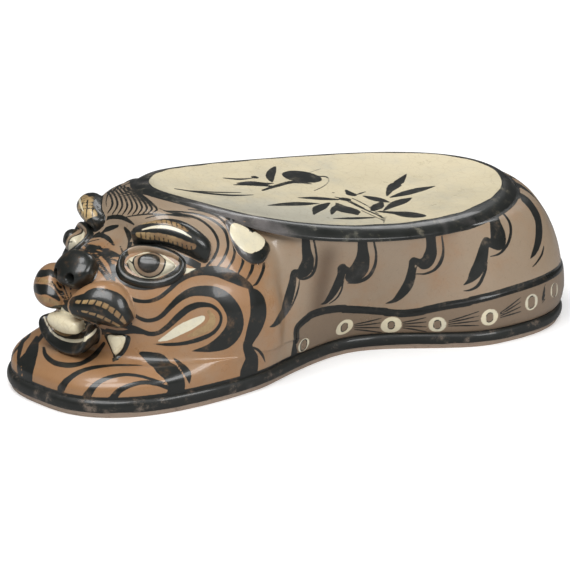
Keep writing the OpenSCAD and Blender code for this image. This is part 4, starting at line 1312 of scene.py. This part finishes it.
class PILLOW_OT_eyes(bpy.types.Operator):
    """Make the eyeballs with their pupils, and the lids round them"""
    bl_idname = "pillow.make_eyes"
    bl_label = "Eyes"

    def execute(self, context):
        glaze = glazes(context)
        pupil = context.scene.pillow_form.pupil * 1000
        iris = pupil + IRIS_WIDTH
        outer, under, within = eye_form()
        middle = on_wall(FRONT + EYE_OUT - 0.2, level_at(EYE_HEIGHT - 0.8), np.array(RELIEF))
        distance = np.linalg.norm(outer - middle, axis=-1)
        rise = PUPIL_RISE * ease((pupil + PUPIL_EDGE - distance) / PUPIL_SLOPE)
        outward = outer - under
        outward /= np.linalg.norm(outward, axis=-1, keepdims=True) + 1e-6
        ball = (outer + outward * rise[..., None], under, within)
        # Ink marks, with painted shade in the eye's outer corner
        marks = carry(EYE_MARKS_AND_CORNER_SHADE, FACE_CROP, surface_on(ball))
        lid = lid_form()

        def paint_lid(points, inside):
            return fields_of(points, tone=skin_tone(points), ink_floor=inside + LID_RUN)
        for name, side in SIDES:
            centre = placed(middle, side)

            def paint_ball(points, inside):
                away = np.linalg.norm(points - centre, axis=1)
                ring = np.maximum(pupil - away, IRIS_LINE - np.abs(away - iris))
                fields = fields_of(points, marks, tone=np.full(len(points), EYE_TONE), ink_floor=ring)
                fields["cream_field"] = away - iris
                return fields
            applied_piece(name + "_eyeball", ball, side, glaze.skin(), paint_ball)
            applied_piece(name + "_eyelid", lid, side, glaze.iron(), paint_lid, True)
        return {"FINISHED"}


class PILLOW_OT_muzzle(bpy.types.Operator):
    """Make the nose with its two vents, and the whisker pads"""
    bl_idname = "pillow.make_muzzle"
    bl_label = "Muzzle"

    def execute(self, context):
        iron = glazes(context).iron()
        outer, under, within = nose_form()
        front = NECK_X - FACE_RADIUS
        for _, side in SIDES:
            across = np.hypot(outer[..., 1] - side * NOSTRIL_PITCH / 2,
                              outer[..., 2] - NOSE_HEIGHT - VENT_LIFT)
            depth = VENT_DEPTH * ease((NOSTRIL_BORE / 2 + VENT_EDGE - across) / VENT_SLOPE)
            outer[..., 0] += depth * (outer[..., 0] < front)

        def paint_nose(points, inside):
            return fields_of(points, tone=skin_tone(points), ink_floor=inside + NOSE_RUN)
        applied_piece("nose", (outer, under, within), -1, iron, paint_nose)
        form = pad_form()
        near, far = surface_on(form), surface_on(form, 1)
        ticks = carry(PAD_TICKS, FACE_CROP, near, False)
        for (name, side), surface, black, gold in zip(
                SIDES, (near, far), (PAD_BLACK, FAR_PAD_BLACK), (PAD_DASHES, FAR_PAD_GOLD)):
            ink, bright = carry(black, FACE_CROP, surface, False), carry(gold, FACE_CROP, surface, False)

            def paint_pad(points, inside):
                fields = fields_of(points, ink, gold=bright, tone=skin_tone(points))
                fields["gold_field"] = np.minimum(fields["gold_field"], -brush_field(points, ticks))
                return fields
            applied_piece(name + "_whisker_pad", form, side, iron, paint_pad)
        return {"FINISHED"}


class PILLOW_OT_mouth(bpy.types.Operator):
    """Make the tongue plate, the lower jaw and the fangs"""
    bl_idname = "pillow.make_mouth"
    bl_label = "Mouth"

    def execute(self, context):
        glaze = glazes(context)
        jaw = jaw_form()
        surface = surface_on(jaw)
        lip, cream = carry(JAW_GOLD, FACE_CROP, surface, False), carry(JAW_CREAM, FACE_CROP, surface, False)

        def paint_tongue(points, inside):
            return fields_of(points, tone=np.full(len(points), TONGUE_TONE))

        def paint_jaw(points, inside):
            fields = fields_of(points, cream=cream, gold=lip, ink_floor=inside + JAW_RUN)
            fields["ink_field"] = np.minimum(fields["ink_field"], -fields["cream_field"])
            return fields

        def paint_fang(points, inside):
            return fields_of(points, ink_floor=FANG_LINE - inside)
        applied_piece("tongue", tongue_form(), -1, glaze.cream(), paint_tongue)
        applied_piece("lower_jaw", jaw, -1, glaze.iron(), paint_jaw)
        fang = fang_form()
        for name, side in SIDES:
            applied_piece(name + "_fang", fang, side, glaze.cream(), paint_fang)
        return {"FINISHED"}


class PILLOW_OT_tail(bpy.types.Operator):
    """Make the applied tail with its ring spots and fans of lines"""
    bl_idname = "pillow.make_tail"
    bl_label = "Tail"

    def execute(self, context):
        form = tail_form()
        surface = surface_on(form)
        spots, centres, fans = [], [], []
        for x, y, size in TAIL_SPOTS:
            spots.append([(x - 3, y, size * 1.65), (x + 3, y, size * 1.65)])
            centres.append([(x, y - 6, size * 0.7), (x, y + 6, size * 0.7)])
        for (x0, y0, r0), (x1, y1, r1) in zip(TAIL_SPOTS[1:], TAIL_SPOTS[2:]):
            start, end = x0 + r0 + 4, x1 - r1 - 4
            for spread in (-36, -14, 10, 34):
                fans.append([(start, lerp(y0, y1, 0.15) + spread * 0.35, 4),
                             (lerp(start, end, 0.45), lerp(y0, y1, 0.45) + spread * 0.6, 7),
                             (end, lerp(y0, y1, 0.85) + spread, 4)])
        spots, centres, fans = (
            carry(strokes, FLANK_CROP, surface, False) for strokes in (spots, centres, fans))

        def paint(points, inside):
            fields = fields_of(points, [tail_edge(form)] + fans, spots, tone=skin_tone(points) + TAIL_TONE)
            cream, middle = fields["cream_field"], brush_field(points, centres)
            fields["ink_field"] = np.where(cream > -0.4, 0.35 - np.abs(middle), fields["ink_field"])
            fields["cream_field"] = np.minimum(cream, -middle)
            fields["shade"] = np.where(fields["cream_field"] > 0, SPOT_SHADE, TAIL_SHADE)
            return fields
        applied_piece("tail", form, -1, glazes(context).skin(), paint)
        return {"FINISHED"}


class PILLOW_OT_coils(bpy.types.Operator):
    """Give the inner luting coils their bare clay"""
    bl_idname = "pillow.finish_coils"
    bl_label = "Inner coils"

    def execute(self, context):
        bare = glazes(context).bare()
        for name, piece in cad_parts.items():
            if name.endswith("_coil"):
                piece.data.materials.clear()
                piece.data.materials.append(bare)
        return {"FINISHED"}


class PILLOW_OT_stage(bpy.types.Operator):
    """Set up the pale floor, the soft light and the camera"""
    bl_idname = "pillow.make_stage"
    bl_label = "Stage"

    def execute(self, context):
        scene = context.scene
        self.place_camera(scene)
        self.lay_floor(scene)
        self.light(scene)
        scene.view_settings.view_transform = "Standard"
        return {"FINISHED"}

    def aim(self, scene, name, data, place, direction):
        """Puts a camera or a lamp at a place, in metres, and turns it along a direction."""
        made = bpy.data.objects.new(name, data)
        made.location = place
        made.rotation_mode = "QUATERNION"
        made.rotation_quaternion = Vector(direction).to_track_quat("-Z", "Y")
        scene.collection.objects.link(made)
        return made

    def place_camera(self, scene):
        camera = bpy.data.cameras.new("picture_camera")
        camera.sensor_width = SENSOR_WIDTH
        camera.lens = SENSOR_WIDTH * FOCAL_PIXELS / PICTURE_SIDE
        camera.clip_start, camera.clip_end = 0.05, 20
        scene.camera = self.aim(scene, "picture_camera", camera, CAMERA_PLACE / 1000, FORWARD)

    def lay_floor(self, scene):
        """A pale floor that the camera sees whiter with distance, and that the glaze sees darker."""
        stage, side = scene.pillow_stage, FLOOR_REACH
        mesh = bpy.data.meshes.new("floor")
        corners = [(-side, -side, 0), (side, -side, 0), (side, side, 0), (-side, side, 0)]
        mesh.from_pydata(corners, [], [(0, 1, 2, 3)])
        floor = bpy.data.objects.new("floor", mesh)
        scene.collection.objects.link(floor)
        paper = bpy.data.materials.new("pale_paper")
        paper.use_nodes = True
        mesh.materials.append(paper)
        tree = paper.node_tree
        path = node(tree, "LightPath", (-600, -300)).outputs
        grain = node(tree, "TexNoise", (-600, 0), {"Scale": 3}).outputs["Fac"]
        plain, grey, reflected = (
            (*[c * share for c in stage.floor], 1) for share in (1, FLOOR_GRAIN, stage.reflected))
        tint = mix(tree, (-300, 0), grain, plain, grey)
        middle = node(tree, "TexCoord", (-960, -500)).outputs["Object"]
        away = node(tree, "VectorMath", (-780, -500), {0: middle}, operation="LENGTH").outputs["Value"]
        far_lift = LIFT_GROWTH * stage.lift
        lift = ramp(tree, (-600, -500), away, LIFT_NEAR, LIFT_FAR, stage.lift, far_lift, "LINEAR")
        fill(tree, tree.nodes["Principled BSDF"], {
            "Base Color": mix(tree, (-120, 0), path["Is Glossy Ray"], tint, reflected), "Roughness": 0.9,
            "Emission Strength": math_node(tree, "MULTIPLY", (-300, -300), path["Is Camera Ray"], lift),
            "Emission Color": WHITE})

    def light(self, scene):
        """An even sky that looks darker in the glaze, and the soft lamps."""
        stage = scene.pillow_stage
        scene.world = bpy.data.worlds.new("studio")
        scene.world.use_nodes = True
        tree = scene.world.node_tree
        in_glaze = node(tree, "LightPath", (-600, 0)).outputs["Is Glossy Ray"]
        sky = ramp(tree, (-300, 0), in_glaze, 0, 1, stage.sky, stage.sky * stage.reflected, "LINEAR")
        fill(tree, tree.nodes["Background"], {"Color": WHITE, "Strength": sky})
        for name, place, size, power, share in LAMPS:
            lamp = bpy.data.lights.new(name, "AREA")
            lamp.shape = "RECTANGLE"
            lamp.size, lamp.size_y = size
            lamp.energy = getattr(stage, power) * share
            self.aim(scene, name, lamp, place, Vector(LAMP_AIM) - Vector(place))


class PILLOW_PT_panel(bpy.types.Panel):
    """Lists the pillow's settings and steps"""
    bl_idname = "PILLOW_PT_panel"
    bl_label = "Tiger pillow"
    bl_space_type = "VIEW_3D"
    bl_region_type = "UI"
    bl_category = "Pillow"

    def draw(self, context):
        for title, group in (("Form", context.scene.pillow_form), ("Finish", context.scene.pillow_finish),
                             ("Stage", context.scene.pillow_stage)):
            box = self.layout.box()
            box.label(text=title)
            for key in group.bl_rna.properties.keys():
                if key not in ("rna_type", "name"):
                    box.prop(group, key)
        for step in STEPS:
            self.layout.operator(step.bl_idname)


STEPS = (PILLOW_OT_stage, PILLOW_OT_walls, PILLOW_OT_foot, PILLOW_OT_headrest, PILLOW_OT_ears,
         PILLOW_OT_brows, PILLOW_OT_eyes, PILLOW_OT_muzzle, PILLOW_OT_mouth, PILLOW_OT_tail, PILLOW_OT_coils)
CLASSES = (PillowForm, PillowFinish, PillowStage) + STEPS + (PILLOW_PT_panel,)


def register():
    for kind in CLASSES:
        bpy.utils.register_class(kind)
    bpy.types.Scene.pillow_form = bpy.props.PointerProperty(type=PillowForm)
    bpy.types.Scene.pillow_finish = bpy.props.PointerProperty(type=PillowFinish)
    bpy.types.Scene.pillow_stage = bpy.props.PointerProperty(type=PillowStage)


def unregister():
    del bpy.types.Scene.pillow_stage, bpy.types.Scene.pillow_finish, bpy.types.Scene.pillow_form
    for kind in reversed(CLASSES):
        bpy.utils.unregister_class(kind)


def main():
    register()
    bpy.ops.pillow.make_stage()
    bpy.ops.pillow.make_walls()
    bpy.ops.pillow.make_foot()
    bpy.ops.pillow.make_headrest()
    bpy.ops.pillow.make_ears()
    bpy.ops.pillow.make_brows()
    bpy.ops.pillow.make_eyes()
    bpy.ops.pillow.make_muzzle()
    bpy.ops.pillow.make_mouth()
    bpy.ops.pillow.make_tail()
    bpy.ops.pillow.finish_coils()


if __name__ == "__main__":
    main()
